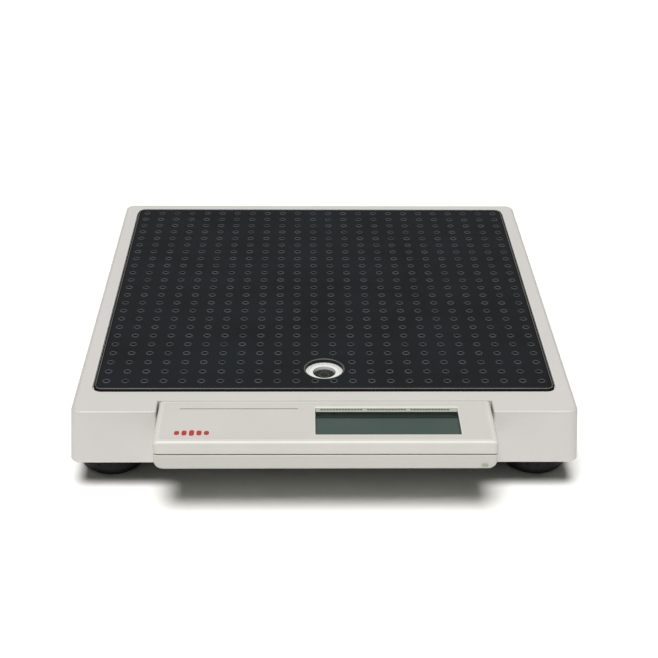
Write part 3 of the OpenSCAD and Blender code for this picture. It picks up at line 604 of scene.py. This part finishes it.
def make_mat():
    """Mat with a lip round it, a groove inside the lip, a collar round the level and small rings."""
    shell = Shell()
    lip, nub, hole, side = 1, 2, 3, 4  # places in the piece's coats
    mid = (MAT_LO.y + MAT_HI.y) / 2
    field = MAT_HI.z - 0.25
    around = rectangle(0, mid, MAT_HI.x * 2, MAT_HI.y - MAT_LO.y, 6, 8)
    wall = [(0.5, MAT_Z), (0.2, MAT_Z + 0.4), (0.2, field - 0.85)]
    outer_slope = [(0.3, field - 0.4), (0.52, field - 0.02), (0.85, field + 0.2), (1.25, field + 0.25)]
    inner_slope = [(1.6, field + 0.2), (1.85, field - 0.02)]
    groove = [(1.98, field - 0.65), (2.45, field - 0.7), (2.62, field - 0.1), (2.85, field)]
    rings = shell.rows(around, wall + outer_slope + inner_slope + groove)
    shell.stack(rings[: len(wall)])
    first, crown = len(wall) - 1, len(wall) + len(outer_slope) - 1
    last = crown + len(inner_slope)

    # painted highlight on the lip's front, its sides' inner slopes and its rear, and painted shadow in the
    # gap by the housing
    for k in range(first, last):
        start = len(shell.faces)
        shell.bridge(rings[k], rings[k + 1])
        for i, s in enumerate(around):
            front, rear, sideways = s.n[1] > 0.7, s.n[1] < -0.7, abs(s.n[0]) > 0.7
            if front and k < crown:
                shell.coats.append((start + i, start + i + 1, lip if k > first + 1 else hole))
            elif sideways:
                shell.coats.append((start + i, start + i + 1, side if k >= crown else hole))
            elif rear and k >= crown:
                shell.coats.append((start + i, start + i + 1, nub))
    shell.stack(rings[last:])

    # the collar round the level's hole
    collar_top = [(13.3, field), (13.1, field + 0.1), (12.75, field + 0.04), (12.4, field - 0.25)]
    collar = shell.round_rows(*LEVEL, [*collar_top, (12.3, field - 0.7), (12.3, MAT_Z)], 64)
    # the collar's crest gets painted highlight
    start = len(shell.faces)
    shell.stack(collar[: len(collar_top)])
    shell.coat(start, lip)
    shell.stack(collar[len(collar_top) - 1 :])
    shell.fill([rings[0], collar[-1]])

    # the small rings
    rim = [(2.6, 0), (2.45, 0.2), (2.1, 0.38), (1.7, 0.34), (1.35, 0.1)]
    dent = [(1.2, -0.5), (0.8, -0.7)]
    small_ring = [(r, field + z) for r, z in rim + dent]
    columns, row_count, pitch_x, pitch_y = 24, 23, 12.15, 12.03
    first_row, clear_of_level = MAT_LO.y + 10.5, 17.5
    bases = []
    for row in range(row_count):
        y = first_row + pitch_y * row
        for column in range(columns):
            x = pitch_x * (column - (columns - 1) / 2)
            if row and math.hypot(x - LEVEL[0], y - LEVEL[1]) < clear_of_level:
                continue
            rows = shell.round_rows(x, y, small_ring, 16)
            # each ring's crest gets painted highlight
            start = len(shell.faces)
            shell.stack(rows[: len(rim)])
            shell.coat(start, nub)
            # each ring's dent gets painted shadow
            start = len(shell.faces)
            shell.stack(rows[len(rim) - 1 :])
            shell.fan(rows[-1], (x, y, field - 0.72))
            shell.coat(start, hole)
            bases.append(rows[0])
    shell.fill([rings[-1], collar[0], *bases])
    shell.piece("platform_mat_rubber", "chassis", "mat_rubber", ["platform_mat"], sharp=60,
                coats=("mat_lip_painted_highlight", "mat_nub_painted_highlight", "mat_painted_shadow", "mat_side_painted_highlight"))


# ------------------------------------------------------------------ bubble level


def make_level():
    """White ring, clear vial and the target circle printed on the vial."""
    top = RING_HI.z
    low = RING_LO.z
    ring = Shell()
    sides = 64
    body = [(0, low), (9.9, low), (10.1, low + 0.2), (10.1, MAT_Z - 1)]
    flange = [(12.0, MAT_Z - 1), (12.2, MAT_Z - 0.8), (12.2, MAT_Z + 0.2), (11.4, MAT_Z + 0.5)]
    rim = [(11.4, top - 0.4), (11.3, top - 0.12), (11.05, top), (10.4, top)]
    step = [(10.25, top - 0.06), (10.15, top - 0.28)]
    face = [(9.35, top - 0.28), (9.2, top - 0.1), (9.05, top - 0.05), (7.7, top - 0.05)]
    bore = [(7.48, top - 0.15), (7.4, top - 0.4), (7.4, low + 1.5), (0, low + 1.5)]
    ring.turned(body + flange + rim + step + face + bore, *LEVEL, sides)
    # the step gets painted shade, a grey line on the white ring
    step_start = sides * (len(body + flange + rim) - 1)
    ring.coats.append((step_start, step_start + sides * len(step), 1))
    ring.piece("level_ring", "chassis", "white_plastic", ["level_housing"], coats=("ring_step_painted_shade",))
    vial_top = span("level_vial")[1].z - 0.8
    vial_low = span("level_vial")[0].z
    outside = [(0, vial_low), (7.35, vial_low), (7.35, vial_top - 0.3), (7.1, vial_top), (0, vial_top)]
    dome = [(r, vial_top - 1 - 0.02 * r * r) for r in range(7)]
    vial = Shell()
    vial.turned(outside, *LEVEL, 48)
    vial.turned([*dome, (6, vial_low + 1.5), (0, vial_low + 1.5)], *LEVEL, 48)
    vial.piece("level_vial_clear", "chassis", "level_glass", ["level_vial"])
    target = Shell()
    printed = vial_top + 0.03
    target.turned([(2.9, vial_top), (3.2, vial_top), (3.2, printed), (2.9, printed)], *LEVEL, 48)
    target.piece("level_target_ring", "chassis", "print_grey")


# ------------------------------------------------------------------ display pod


def u_path(half, z_open, z_far, r, steps, lip=((0, 0),)):
    """Stations of the pod's outline seen from the front, from its left open edge round to its right one.

    The lip gives the open edge's own rounding, as inset and height pairs.
    """
    s = 1 if z_far > z_open else -1
    made = [Station((-half, z_open + s * up), (1, 0), edge=inset) for inset, up in lip]
    x, z = -half + r, z_far - s * r
    for k in range(steps + 1):
        a = math.radians(90 * k / steps)
        inwards = (math.cos(a), -s * math.sin(a))
        made.append(Station((x - r * inwards[0], z - r * inwards[1]), inwards))
    right = [Station((-m.p[0], m.p[1]), (-m.n[0], m.n[1])) for m in reversed(made)]
    return made + right


def pod_shell(shell, z_open, z_far, r, edge, holes, inner_holes, wall=2.0, draft=0.0):
    """Half of the pod, open towards z_open: rounded outside, hollow inside. Gives its hole rings."""
    steps = 6
    lip = ((0.4, 0), (0.12, 0.12), (0, 0.4))
    path = u_path(POD_W, z_open, z_far, r, steps, lip)
    flat = steps + len(lip)  # the segment between the two corners

    def row(y, inset, a, way):
        made = []
        for s in path:
            side = inset + s.edge * math.cos(a)
            z = s.p[1] + s.n[1] * inset
            back = draft * abs(z - z_open) if way > 0 else 0
            made.append((s.p[0] + s.n[0] * side, y + back + way * s.edge * math.sin(a), z))
        return shell.ring(made)

    front_steps, rear_steps, rear_edge = 4, 3, 1.0
    rows = []
    for k in range(front_steps + 1):
        a = math.radians(90 * k / front_steps)
        rows.append(row(POD_FRONT + edge * (1 - math.sin(a)), edge * (1 - math.cos(a)), a, 1))
    rows.reverse()
    for k in range(rear_steps + 1):
        a = math.radians(90 * k / rear_steps)
        rows.append(row(POD_BACK - rear_edge * (1 - math.sin(a)), rear_edge * (1 - math.cos(a)), a, -1))
    for i, (a, b) in enumerate(zip(rows, rows[1:])):
        start = len(shell.faces)
        if i == front_steps:
            shell.bridge(a, b, closed=False, skip=(flat,))
        else:
            shell.bridge(a, b, closed=False)
            # the rounded front and rear edges get coat 1, painted shade that dims their highlight
            shell.coat(start)
    for ring in (rows[0], rows[-1]):
        last = len(lip) - 1
        shell.fill([ring[last : len(ring) - last]], drop=1)
        for k in range(last):
            shell.faces.append((ring[k], ring[k + 1], ring[-k - 2], ring[-k - 1]))
    a, b = rows[front_steps], rows[front_steps + 1]
    made = [shell.ring(h) for h in holes]
    shell.fill([[a[flat], a[flat + 1], b[flat + 1], b[flat]], *made])

    s = 1 if z_far > z_open else -1
    inner = u_path(POD_W - wall, z_open, z_far - s * wall, max(r - wall, 0.6), steps)
    flat = steps + 1
    near = shell.ring([(m.p[0], POD_FRONT + wall, m.p[1]) for m in inner])
    far = shell.ring([(m.p[0], POD_BACK - wall, m.p[1]) for m in inner])
    shell.bridge(near, far, closed=False, skip=(flat,))
    shell.fill([near], drop=1)
    shell.fill([far], drop=1)
    inside = [shell.ring(h) for h in inner_holes]
    shell.fill([[near[flat], near[flat + 1], far[flat + 1], far[flat]], *inside])
    outer_edge = [q[0] for q in rows] + [q[-1] for q in reversed(rows)]
    shell.fill([outer_edge, [near[0], far[0], far[-1], near[-1]]])
    return made, inside


def lug(shell, y0, y1, z0, z1, hole_r, round_up):
    """Hinge lug with a hole for the pin and one round end."""
    half = 4
    arc = [turn((half, 0), a) for a in range(0, 181, 15)]
    if round_up:
        end = [(u, PIVOT_Z + min(v, z1 - PIVOT_Z)) for u, v in arc]
        path = [(-half, z0), (half, z0)] + end
    else:
        end = [(-u, PIVOT_Z - min(v, PIVOT_Z - z0)) for u, v in arc]
        path = [(half, z1), (-half, z1)] + end
    hole = [(u, PIVOT_Z + v) for u, v, _ in circle(0, 0, hole_r, 0, 20)]
    shell.prism([path, hole], y0, y1, axis=1)


def make_key_cover():
    shell = Shell()
    film_coat, highlight_edge = 2, 3
    pod_mid = (POD_FRONT + POD_BACK) / 2
    cx, cy = (PANE_LO.x + PANE_HI.x) / 2, (PANE_LO.y + PANE_HI.y) / 2
    hole = rectangle(cx, cy, PANE_HI.x - PANE_LO.x - 5, PANE_HI.y - PANE_LO.y - 5, 0.7, 3)
    edge = 0.55
    film = rectangle(0, pod_mid + 0.3, 2 * POD_W - 7.0, POD_BACK - POD_FRONT - 6.4, 1.5, 4)
    groove_profile = ((0, 0), (0.05, 0.2), (0.3, 0.2), (0.35, 0))
    joint = [[s.at(RIM_Z - down, inset) for s in film] for inset, down in groove_profile]
    pane_hole = [s.at(RIM_Z - 2) for s in hole]
    made, inside = pod_shell(shell, SEAM_Z, RIM_Z, 2.6, 2.2, [joint[0]], [pane_hole])
    groove = [made[0]] + [shell.ring(j) for j in joint[1:]]
    shell.stack(groove)
    rings = [shell.ring([s.at(RIM_Z, -edge) for s in hole])]
    start = len(shell.faces)
    shell.fill([groove[-1], rings[0]])
    shell.coat(start, film_coat)
    rings += shell.rows(hole, [(-edge * inset, RIM_Z - edge * down) for inset, down in rounding(3, 1)])
    # the window opening's rounded edge gets painted highlight
    start = len(shell.faces)
    shell.stack(rings)
    shell.coat(start, highlight_edge)
    shell.bridge(rings[-1], inside[0])
    low, high = RIM_Z - 2.6, RIM_Z - 1.7
    for x in (-93.5, 93.5):
        shell.turned([(0, low), (4.8, low), (5, low + 0.2), (5, high), (0, high)], x, pod_mid, 32)
    for y, d in ((POD_FRONT + 2.3, 1), (POD_BACK - 2.3, -1)):
        lug(shell, min(y, y + 2.5 * d), max(y, y + 2.5 * d), PIVOT_Z - 3, RIM_Z - 1.7, 1.5, False)
    shell.piece("key_cover_shell", "tap_cover", "pod_plastic", ["key_cover"],
                coats=("pod_edge", "pod_film", "edge_painted_highlight"))


def make_pod_base():
    shell = Shell()
    low = [circle(x, y, 1.53, POD_Z, 16) for x, y in POD_SCREWS]
    high = [circle(x, y, 3.2, POD_FLOOR, 24) for x, y in POD_SCREWS]
    made, inside = pod_shell(shell, BASE_TOP, POD_Z, 5.5, 1.8, low, high, draft=0.07)
    board_top = POD_FLOOR + 3.2
    for (x, y), a, b in zip(POD_SCREWS, made, inside):
        end = shell.ring(circle(x, y, 1.53, board_top - 1, 16))
        shell.bridge(a, end)
        shell.fill([end])
        top = shell.ring(circle(x, y, 3.2, board_top + 1, 24))
        shell.bridge(b, top)
        shell.fill([top])
    # on each side, a rib that reaches up behind the seam, on a thicker foot
    gap, f, k, w = 7, POD_FRONT, POD_BACK, POD_W
    for s in (-1, 1):
        for a, b, top in ((2.6, 3.8, BASE_TOP + 2.6), (1.5, 3.0, BASE_TOP - 0.02)):
            outside = [(gap, f + a), (w - a, f + a), (w - a, k - a), (gap, k - a)]
            back = [(gap, k - b), (w - b, k - b), (w - b, f + b), (gap, f + b)]
            shell.prism([[(s * x, y) for x, y in outside + back]], BASE_TOP - 3, top)
    for y, d in ((POD_FRONT + 2.3 + 3, 1), (POD_BACK - 2.3 - 3, -1)):
        lug(shell, min(y, y + 2.5 * d), max(y, y + 2.5 * d), POD_FLOOR - 0.5, PIVOT_Z + 2.8, 1.55, True)
    board_mid = POD_FRONT + 24
    for x in (-95, 95):
        for y in (board_mid - 10.5, board_mid + 10.5):
            shell.tube(x, y, 2.75, 1.28, POD_FLOOR - 0.3, POD_FLOOR + 1.6)
    # the base wears the pod's plastic with painted shade, darker than the cover
    shell.piece("pod_base_shell", "chassis", "pod_lower", ["pod_base"], coats=("pod_edge",))


def make_display():
    cx, cy = (PANE_LO.x + PANE_HI.x) / 2, (PANE_LO.y + PANE_HI.y) / 2
    w, l = PANE_HI.x - PANE_LO.x, PANE_HI.y - PANE_LO.y
    margin, flange_top = 5.3, PANE_LO.z + 0.7
    pane = Shell()
    flange = rectangle(cx, cy, w, l, 1.5, 4)
    window = rectangle(cx, cy, w - margin, l - margin, 0.6, 4)
    rings = pane.rows(flange, [(0, PANE_LO.z), (0, flange_top)])
    rings += pane.rows(window, [(0, flange_top), (0, PANE_HI.z - 0.15), (0.15, PANE_HI.z)])
    pane.stack(rings)
    pane.fill([rings[0]])
    pane.fill([rings[-1]])
    pane.piece("display_pane", "tap_cover", "window", ["display_window"])
    strip = Shell()
    sx, sy = (STRIP_LO.x + STRIP_HI.x) / 2, (STRIP_LO.y + STRIP_HI.y) / 2
    plan = rectangle(sx, sy, STRIP_HI.x - STRIP_LO.x, STRIP_HI.y - STRIP_LO.y, 0.4, 3)
    strip.block(plan, STRIP_LO.z, STRIP_HI.z, 0, 0.06)
    strip.piece("display_label_strip", "tap_cover", "label", ["label_strip"])
    glass = Shell()
    gx, gy = (LCD_LO.x + LCD_HI.x) / 2, (LCD_LO.y + LCD_HI.y) / 2
    gw, gl = LCD_HI.x - LCD_LO.x, LCD_HI.y - LCD_LO.y
    rear = rectangle(gx, gy, gw, gl, 0.3, 2)
    front = rectangle(gx, gy - 0.8, gw, gl - 1.6, 0.3, 2)
    film = rectangle(gx, gy - 0.8, gw - 2, gl - 3.2, 0.3, 2)
    glass.block(rear, LCD_LO.z, LCD_LO.z + 1.1, 0.08, 0.08)
    glass.block(front, LCD_LO.z + 1.14, LCD_HI.z - 0.25, 0.08, 0.08)
    glass.block(film, LCD_HI.z - 0.24, LCD_HI.z, 0.0, 0.05)
    glass.piece("lcd_glass_layers", "chassis", "lcd", ["lcd_glass"])


def printed(shell, x, y, w, l, r, z, steps=2):
    """Thin rounded rectangle of ink on a surface at height z."""
    shell.block(rectangle(x, y, w, l, r, steps), z - 0.02, z + 0.03, 0, 0.01)


def make_prints():
    line = Shell()
    printed(line, -53.7, -140.4, 73.6, 0.6, 0.2, RIM_Z)
    line.piece("print_line", "tap_cover", "print_grey")
    red = Shell()
    middle, spacing, width = -81.1, 4.5, 3.1
    for k, height in enumerate((4.6, 5.5, 6.4, 5.5, 4.6)):
        printed(red, middle + spacing * (k - 2), -167.9, width, height, 1.5, RIM_Z, 5)
    red.piece("print_pattern", "tap_cover", "print_red")
    dashes = Shell()
    dash, pitch = 1.5, 1.9
    y = (STRIP_LO.y + STRIP_HI.y) / 2
    for first, count in ((STRIP_LO.x + 3, 14), (STRIP_LO.x + 32, 13), (STRIP_LO.x + 59, 13)):
        for k in range(count):
            printed(dashes, first + pitch * k + dash / 2, y, dash, 1.6, 0.3, STRIP_HI.z)
    dashes.piece("print_dashes", "tap_cover", "print_grey")
    oval = Shell()
    path = [(96.4 + 2.15 * u, 41.5 + 1.05 * v) for u, v, _ in circle(0, 0, 1, 0, 32)]
    oval.prism([path], POD_FRONT - 0.03, POD_FRONT + 0.02, axis=1)
    oval.piece("mark_oval", "chassis", "mark_oval")


# ------------------------------------------------------------------ underside


def cross(shell, x, y, z, size, width):
    """Ring of a cross-shaped recess."""
    a, b = size / 2, width / 2
    left = [(b, a), (-b, a), (-b, b), (-a, b), (-a, -b), (-b, -b)]
    return shell.ring([(x + s * u, y + s * v, z) for s in (1, -1) for u, v in left])


def make_cover_screws():
    shell = Shell()
    z = FLOOR_Z - 2
    head = [(2.35, z), (2.75, z + 0.25), (3.0, z + 0.75), (3.0, z + 1.95)]
    shank = [(1.5, z + 2.0), (1.5, FLOOR_TOP + 11), (0.8, FLOOR_TOP + 12)]
    for x, y in BOSSES:
        rings = shell.round_rows(x, y, head + shank, 28)
        shell.stack(rings)
        shell.fill([rings[-1]])
        mouth = cross(shell, x, y, z, 3.0, 0.75)
        deep = cross(shell, x, y, z + 1.1, 2.2, 0.6)
        shell.bridge(mouth, deep)
        shell.fill([deep])
        shell.fill([rings[0], mouth])
    shell.piece("bottom_cover_screw_set", "chassis", "screw_steel", ["bottom_cover_screws"])


def make_bottom_cover():
    shell = Shell()
    plan = rectangle(0, BODY_MID, 2 * FLOOR_HI.x, FLOOR_HI.y - FLOOR_LO.y, 6, 6)
    lower_edge = [(0.5, FLOOR_Z), (0.12, FLOOR_Z + 0.14), (0, FLOOR_Z + 0.5)]
    rows = shell.rows(plan, [*lower_edge, (0, FLOOR_TOP - 0.3), (0.3, FLOOR_TOP)])
    shell.stack(rows)

    # the battery well
    well_w, well_l, wall, well_y, well_top = 92.2, 54, 1.6, 60, FLOOR_HI.z - 1.6
    low_loops, top_loops = [rows[0]], [rows[-1]]
    inner = rectangle(0, well_y, well_w, well_l, 0.8, 3)
    outer = rectangle(0, well_y, well_w + 2 * wall, well_l + 2 * wall, 1.5, 3)
    mouth = shell.rows(inner, [(-0.4, FLOOR_Z), (0, FLOOR_Z + 0.4), (0, well_top)])
    shell.stack(mouth)
    shell.fill([mouth[-1]])
    low_loops.append(mouth[0])
    hood = shell.rows(outer, [(0, FLOOR_TOP), (0, FLOOR_HI.z - 0.5), (0.5, FLOOR_HI.z)])
    shell.stack(hood)
    shell.fill([hood[-1]])
    top_loops.append(hood[0])

    # the holes for the feet's studs, each with a collar, and for the screws
    collar_top = FLOOR_TOP + 1.5
    hole_profile = [(7.5, FLOOR_Z), (7.12, FLOOR_Z + 0.12), (7, FLOOR_Z + 0.5), (7, collar_top - 0.3)]
    hole_profile += [(7.3, collar_top), (8.7, collar_top), (9, collar_top - 0.3), (9, FLOOR_TOP)]
    for x in (-FOOT_X, FOOT_X):
        for y in FOOT_Y.values():
            rings = shell.round_rows(x, y, hole_profile, 40)
            shell.stack(rings)
            low_loops.append(rings[0])
            top_loops.append(rings[-1])
    for x, y in BOSSES:
        rings = shell.round_rows(x, y, [(1.7, FLOOR_Z), (1.7, FLOOR_TOP)], 16)
        shell.stack(rings)
        low_loops.append(rings[0])
        top_loops.append(rings[-1])
    shell.fill(low_loops)
    shell.fill(top_loops)

    # the lid's rails
    lid_half = (LID_HI.x - LID_LO.x) / 2
    low = FLOOR_LO.z
    rail, lip, bevel = 2.0, 1.2, 0.3
    for s in (-1, 1):
        x0 = s * (lid_half + 0.3)
        x1, x2 = x0 + s * rail, x0 - s * rail
        path = [(x0, FLOOR_Z + 0.2), (x1, FLOOR_Z + 0.2), (x1, low + bevel), (x1 - s * bevel, low)]
        path += [(x2 + s * bevel, low), (x2, low + bevel), (x2, low + lip), (x0, low + lip)]
        shell.prism([path], LID_LO.y, LID_HI.y, axis=1)

    # the main board's posts
    for x in (-96, -24):
        for y in (-71, -29):
            shell.tube(x, y, 3, 1.28, FLOOR_TOP - 0.2, FLOOR_TOP + 4.4)
    shell.piece("bottom_cover_moulding", "chassis", "dark_plastic", ["bottom_cover"])


def make_battery_lid():
    shell = Shell()
    w, l = LID_HI.x - LID_LO.x, LID_HI.y - LID_LO.y
    y = (LID_HI.y + LID_LO.y) / 2
    z1 = LID_HI.z
    z0 = z1 - 1.5
    plan = rectangle(0, y, w, l, 1.5, 5)
    rows = shell.rows(plan, [(0.4, z0), (0.1, z0 + 0.12), (0, z0 + 0.4), (0, z1 - 0.2), (0.2, z1)])
    shell.stack(rows)
    shell.fill([rows[-1]])
    groove = rectangle(0, LID_LO.y + 24, 30, 1.6, 0.7, 4)
    cut = shell.rows(groove, [(0, z0), (0.25, z0 + 0.6)])
    shell.stack(cut)
    shell.fill([cut[-1]])
    shell.fill([rows[0], cut[0]])
    for k in range(5):
        shell.block(rectangle(0, LID_LO.y + 5 + 3 * k, 30, 1.2, 0.55, 4), z0 - 0.8, z0 + 0.1, 0.4, 0, 3)
    shell.piece("battery_lid_moulding", "battery_door", "dark_plastic", ["battery_lid"])


# ------------------------------------------------------------------ feet


def make_sole(corner, x, y):
    shell = Shell()
    lo, hi = span(f"{corner}_sole")
    radius = (hi.x - lo.x) / 2
    flank = 6.2
    profile = [(0, 0.35), (9.5, 0.35), (10.0, 0), (radius - flank - 0.2, 0)]
    for k in range(1, 10):
        a = math.radians(-90 + 80.7 * k / 9)
        profile.append((radius - flank + flank * math.cos(a), flank + flank * math.sin(a)))
    profile[-1] = (profile[-1][0] - 0.15, 5.05)
    profile += [(radius - 0.4, 5.2), (3.3, 5.2), (3.05, 4.95), (3.05, 3.6), (5, 3.6), (5, 1.9), (0, 1.9)]
    shell.turned(profile, x, y, 64)
    shell.piece(f"{corner}_sole_rubber", f"{corner}_foot_sole", "foot_rubber", [f"{corner}_sole"])


def make_wheel(corner, x, y):
    shell = Shell()
    lo, hi = span(f"{corner}_wheel")
    z0, z1 = lo.z, hi.z
    radius = (hi.x - lo.x) / 2
    flutes, per = 20, 10
    count = flutes * per

    def ring(inset, z, depth):
        made = []
        for k in range(count):
            a = 2 * math.pi * k / count
            u = abs((k % per) / per - 0.5) * 2  # 1 at a flute's middle
            cut = depth * max(0.0, (u - 0.45) / 0.55) ** 0.8
            r = radius - inset - cut
            made.append((x + r * math.cos(a), y + r * math.sin(a), z))
        return shell.ring(made)

    plain = [(0.5, z0), (0.15, z0 + 0.15), (0, z0 + 0.5), (0, z0 + 2.0), (0, z0 + 3.4)]
    fluted = [(0, z0 + 4.2, 0.75), (0, z1 - 2.0, 0.8), (0.25, z1 - 1.0, 0.75), (0.75, z1 - 0.35, 0.6)]
    fluted.append((1.9, z1, 0.15))
    rows = [ring(inset, z, 0) for inset, z in plain] + [ring(*each) for each in fluted]
    shell.stack(rows)
    bore = [shell.ring(circle(x, y, 5.05, z, 24)) for z in (z0, z0 + 4)]
    shell.stack(bore)
    sides = []
    for k in range(24):
        a = 2 * math.pi * k / 24
        fold = (a + math.pi / 6) % (math.pi / 3) - math.pi / 6
        r = 8.55 / math.cos(fold)
        sides.append((r * math.cos(a + math.pi / 6), r * math.sin(a + math.pi / 6)))
    low = shell.ring([(x + u, y + v, z0 + 4) for u, v in sides])
    high = shell.ring([(x + u, y + v, z1) for u, v in sides])
    shell.bridge(low, high)
    shell.fill([low, bore[-1]])
    shell.fill([rows[-1], high])
    shell.fill([rows[0], bore[0]])
    shell.piece(f"{corner}_adjusting_wheel", f"{corner}_foot_wheel", "wheel_plastic", [f"{corner}_wheel"])


def make_stud(corner, x, y):
    shell = Shell()
    lo, hi = span(f"{corner}_stud")
    pitch, radius, depth, around = 1.5, 4.97, 0.85, 20
    z = lo.z
    foot = [(0, z), (4.2, z), (4.5, z + 0.3), (4.5, z + 1.0), (4.2, z + 1.3), (3, z + 1.3), (3, z + 3.6)]
    shoulder = [(4.7, z + 3.6), (radius, z + 3.9), (radius, z + 7.6)]
    thread_low = z + 12.6

    def cut(level, k):
        phase = (level / pitch - k / around) % 1.0
        wave = abs(phase - 0.5) * 2
        ends = min(1.0, (level - thread_low) / 1.5, max(0.0, (hi.z - 0.6 - level) / 1.5))
        return radius - depth * min(1.0, max(0.0, wave * 1.25 - 0.12)) * max(0.0, ends)

    def turned_once(level):
        made = []
        for k in range(around):
            a, r = 2 * math.pi * k / around, cut(level, k)
            made.append((x + r * math.cos(a), y + r * math.sin(a), level))
        return shell.ring(made)

    rings = [shell.ring([(x, y, z)])]
    rings += shell.round_rows(x, y, [*foot[1:], *shoulder, (radius, thread_low)], around)
    level = thread_low
    while level < hi.z - 0.7:
        level += pitch / 6
        rings.append(turned_once(level))
    rings += shell.round_rows(x, y, [(radius - 0.7, hi.z)], around)
    shell.faces += [(rings[0][0], rings[1][(i + 1) % around], rings[1][i]) for i in range(around)]
    shell.stack(rings[1:])
    shell.fill([rings[-1]])
    nut_r = 8.5 / math.cos(math.radians(30))
    nut = [turn((nut_r, 0), 60 * k + 30) for k in range(6)]
    shell.prism([[(x + u, y + v) for u, v in nut]], z + 7.6, thread_low)
    shell.piece(f"{corner}_threaded_stud", f"{corner}_foot_wheel", "screw_steel", [f"{corner}_stud"],
                sharp=50)


def make_feet():
    for corner in CORNERS:
        row, side = corner.split("_")
        x, y = (-FOOT_X if side == "left" else FOOT_X), FOOT_Y[row]
        make_sole(corner, x, y)
        make_wheel(corner, x, y)
        make_stud(corner, x, y)


def make_return_springs():
    """Coils that stand on the guide towers, where a plunger presses them; each is made at one fixed length.
    """
    for side in ("left", "right"):
        lo, hi = span(f"{side}_spring")
        x, y = (lo.x + hi.x) / 2, (lo.y + hi.y) / 2
        wire, turns, per = 0.3, 4.4, 24
        radius = (hi.x - lo.x) / 2 - wire
        low, high = lo.z + wire, hi.z - wire
        steps = int(turns * per)
        shell, rings = Shell(), []
        for k in range(steps + 1):
            a = 2 * math.pi * k / per
            share = min(1.0, max(0.0, (k / per - 0.8) / (turns - 1.6)))
            z = low + (high - low) * share
            ring = []
            for j in range(8):
                b = 2 * math.pi * j / 8
                r = radius + wire * math.cos(b)
                ring.append((x + r * math.cos(a), y + r * math.sin(a), z + wire * math.sin(b)))
            rings.append(shell.ring(ring))
        shell.stack(rings)
        shell.faces += [tuple(rings[0]), tuple(rings[-1])]
        made = shell.piece(f"{side}_return_spring", None, "screw_steel", [f"{side}_spring"])
        start, end = ((x / 1000, y / 1000, z / 1000) for z in (low, high))
        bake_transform(made)
        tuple(start)
        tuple(end)


# ------------------------------------------------------------------ CAD nodes that stay


def dress_cad_nodes():
    slots = {part["node"]: part["material_slot"] for part in frame["record"]["subparts"]}
    for name, made in NODES.items():
        for k in range(max(1, len(made.data.materials))):
            if k < len(made.data.materials):
                made.data.materials[k] = MATERIALS[slots[name]]
            else:
                made.data.materials.append(MATERIALS[slots[name]])


# ------------------------------------------------------------------ studio


def sun(name, tilt_front, tilt_left, strength, angle, colour):
    """Soft light from above, leaning towards the front and the left by the given degrees."""
    data = bpy.data.lights.new(name, "SUN")
    data.energy = strength
    data.angle = math.radians(angle)
    data.color = colour
    lamp = bpy.data.objects.new(name, data)
    bpy.context.scene.collection.objects.link(lamp)
    where = Vector((-math.tan(math.radians(tilt_left)), -math.tan(math.radians(tilt_front)), 1))
    lamp.location = where
    lamp.rotation_euler = (-where).to_track_quat("-Z", "Y").to_euler()


def make_sky():
    """Sky that is white at the horizon and darker overhead, so that shadows stay narrow."""
    world = bpy.data.worlds.new("studio")
    bpy.context.scene.world = world
    world.use_nodes = True
    tree = world.node_tree
    where = tree.nodes.new("ShaderNodeTexCoord")
    apart = tree.nodes.new("ShaderNodeSeparateXYZ")
    ramp = tree.nodes.new("ShaderNodeValToRGB")
    low, high = ramp.color_ramp.elements
    low.position, low.color = 0.015, (1.0, 1.0, 0.99, 1)
    high.position, high.color = 0.1, (0.15, 0.15, 0.13, 1)
    tree.links.new(where.outputs["Generated"], apart.inputs["Vector"])
    tree.links.new(apart.outputs["Z"], ramp.inputs["Fac"])
    tree.links.new(ramp.outputs["Color"], tree.nodes["Background"].inputs["Color"])
    tree.nodes["Background"].inputs["Strength"].default_value = 1.0


def make_studio():
    """The photo's camera, as solved from the housing's edges and the mat's rings, a floor and the light."""
    scene = bpy.context.scene
    data = bpy.data.cameras.new("camera")
    data.lens = 75.69
    data.sensor_width = 36
    data.clip_start, data.clip_end = 0.05, 50
    camera = bpy.data.objects.new("camera", data)
    scene.collection.objects.link(camera)
    camera.location = (-0.01303, -0.87202, 0.51469)
    camera.rotation_euler = [math.radians(a) for a in (61.364, -0.501, -0.893)]
    scene.camera = camera

    mesh = bpy.data.meshes.new("studio_floor")
    mesh.from_pydata([(-8, -8, 0), (8, -8, 0), (8, 8, 0), (-8, 8, 0)], [], [(0, 1, 2, 3)])
    floor = bpy.data.objects.new("studio_floor", mesh)
    scene.collection.objects.link(floor)
    paper = bpy.data.materials.new("studio_paper")
    paper.use_nodes = True
    paper.node_tree.nodes["Principled BSDF"].inputs["Base Color"].default_value = (0.84, 0.84, 0.82, 1)
    paper.node_tree.nodes["Principled BSDF"].inputs["Roughness"].default_value = 0.9
    paper.node_tree.nodes["Principled BSDF"].inputs["Specular IOR Level"].default_value = 0.1
    mesh.materials.append(paper)

    make_sky()
    sun("soft_sun", 22, 4, 4.0, 26, (1.0, 0.992, 0.99))
    scene.view_settings.view_transform = "Standard"


make_materials()
make_studio()
dress_cad_nodes()
make_top_cover()
make_mat()
make_level()
make_key_cover()
make_pod_base()
make_display()
make_prints()
make_bottom_cover()
make_cover_screws()
make_battery_lid()
make_feet()
make_return_springs()
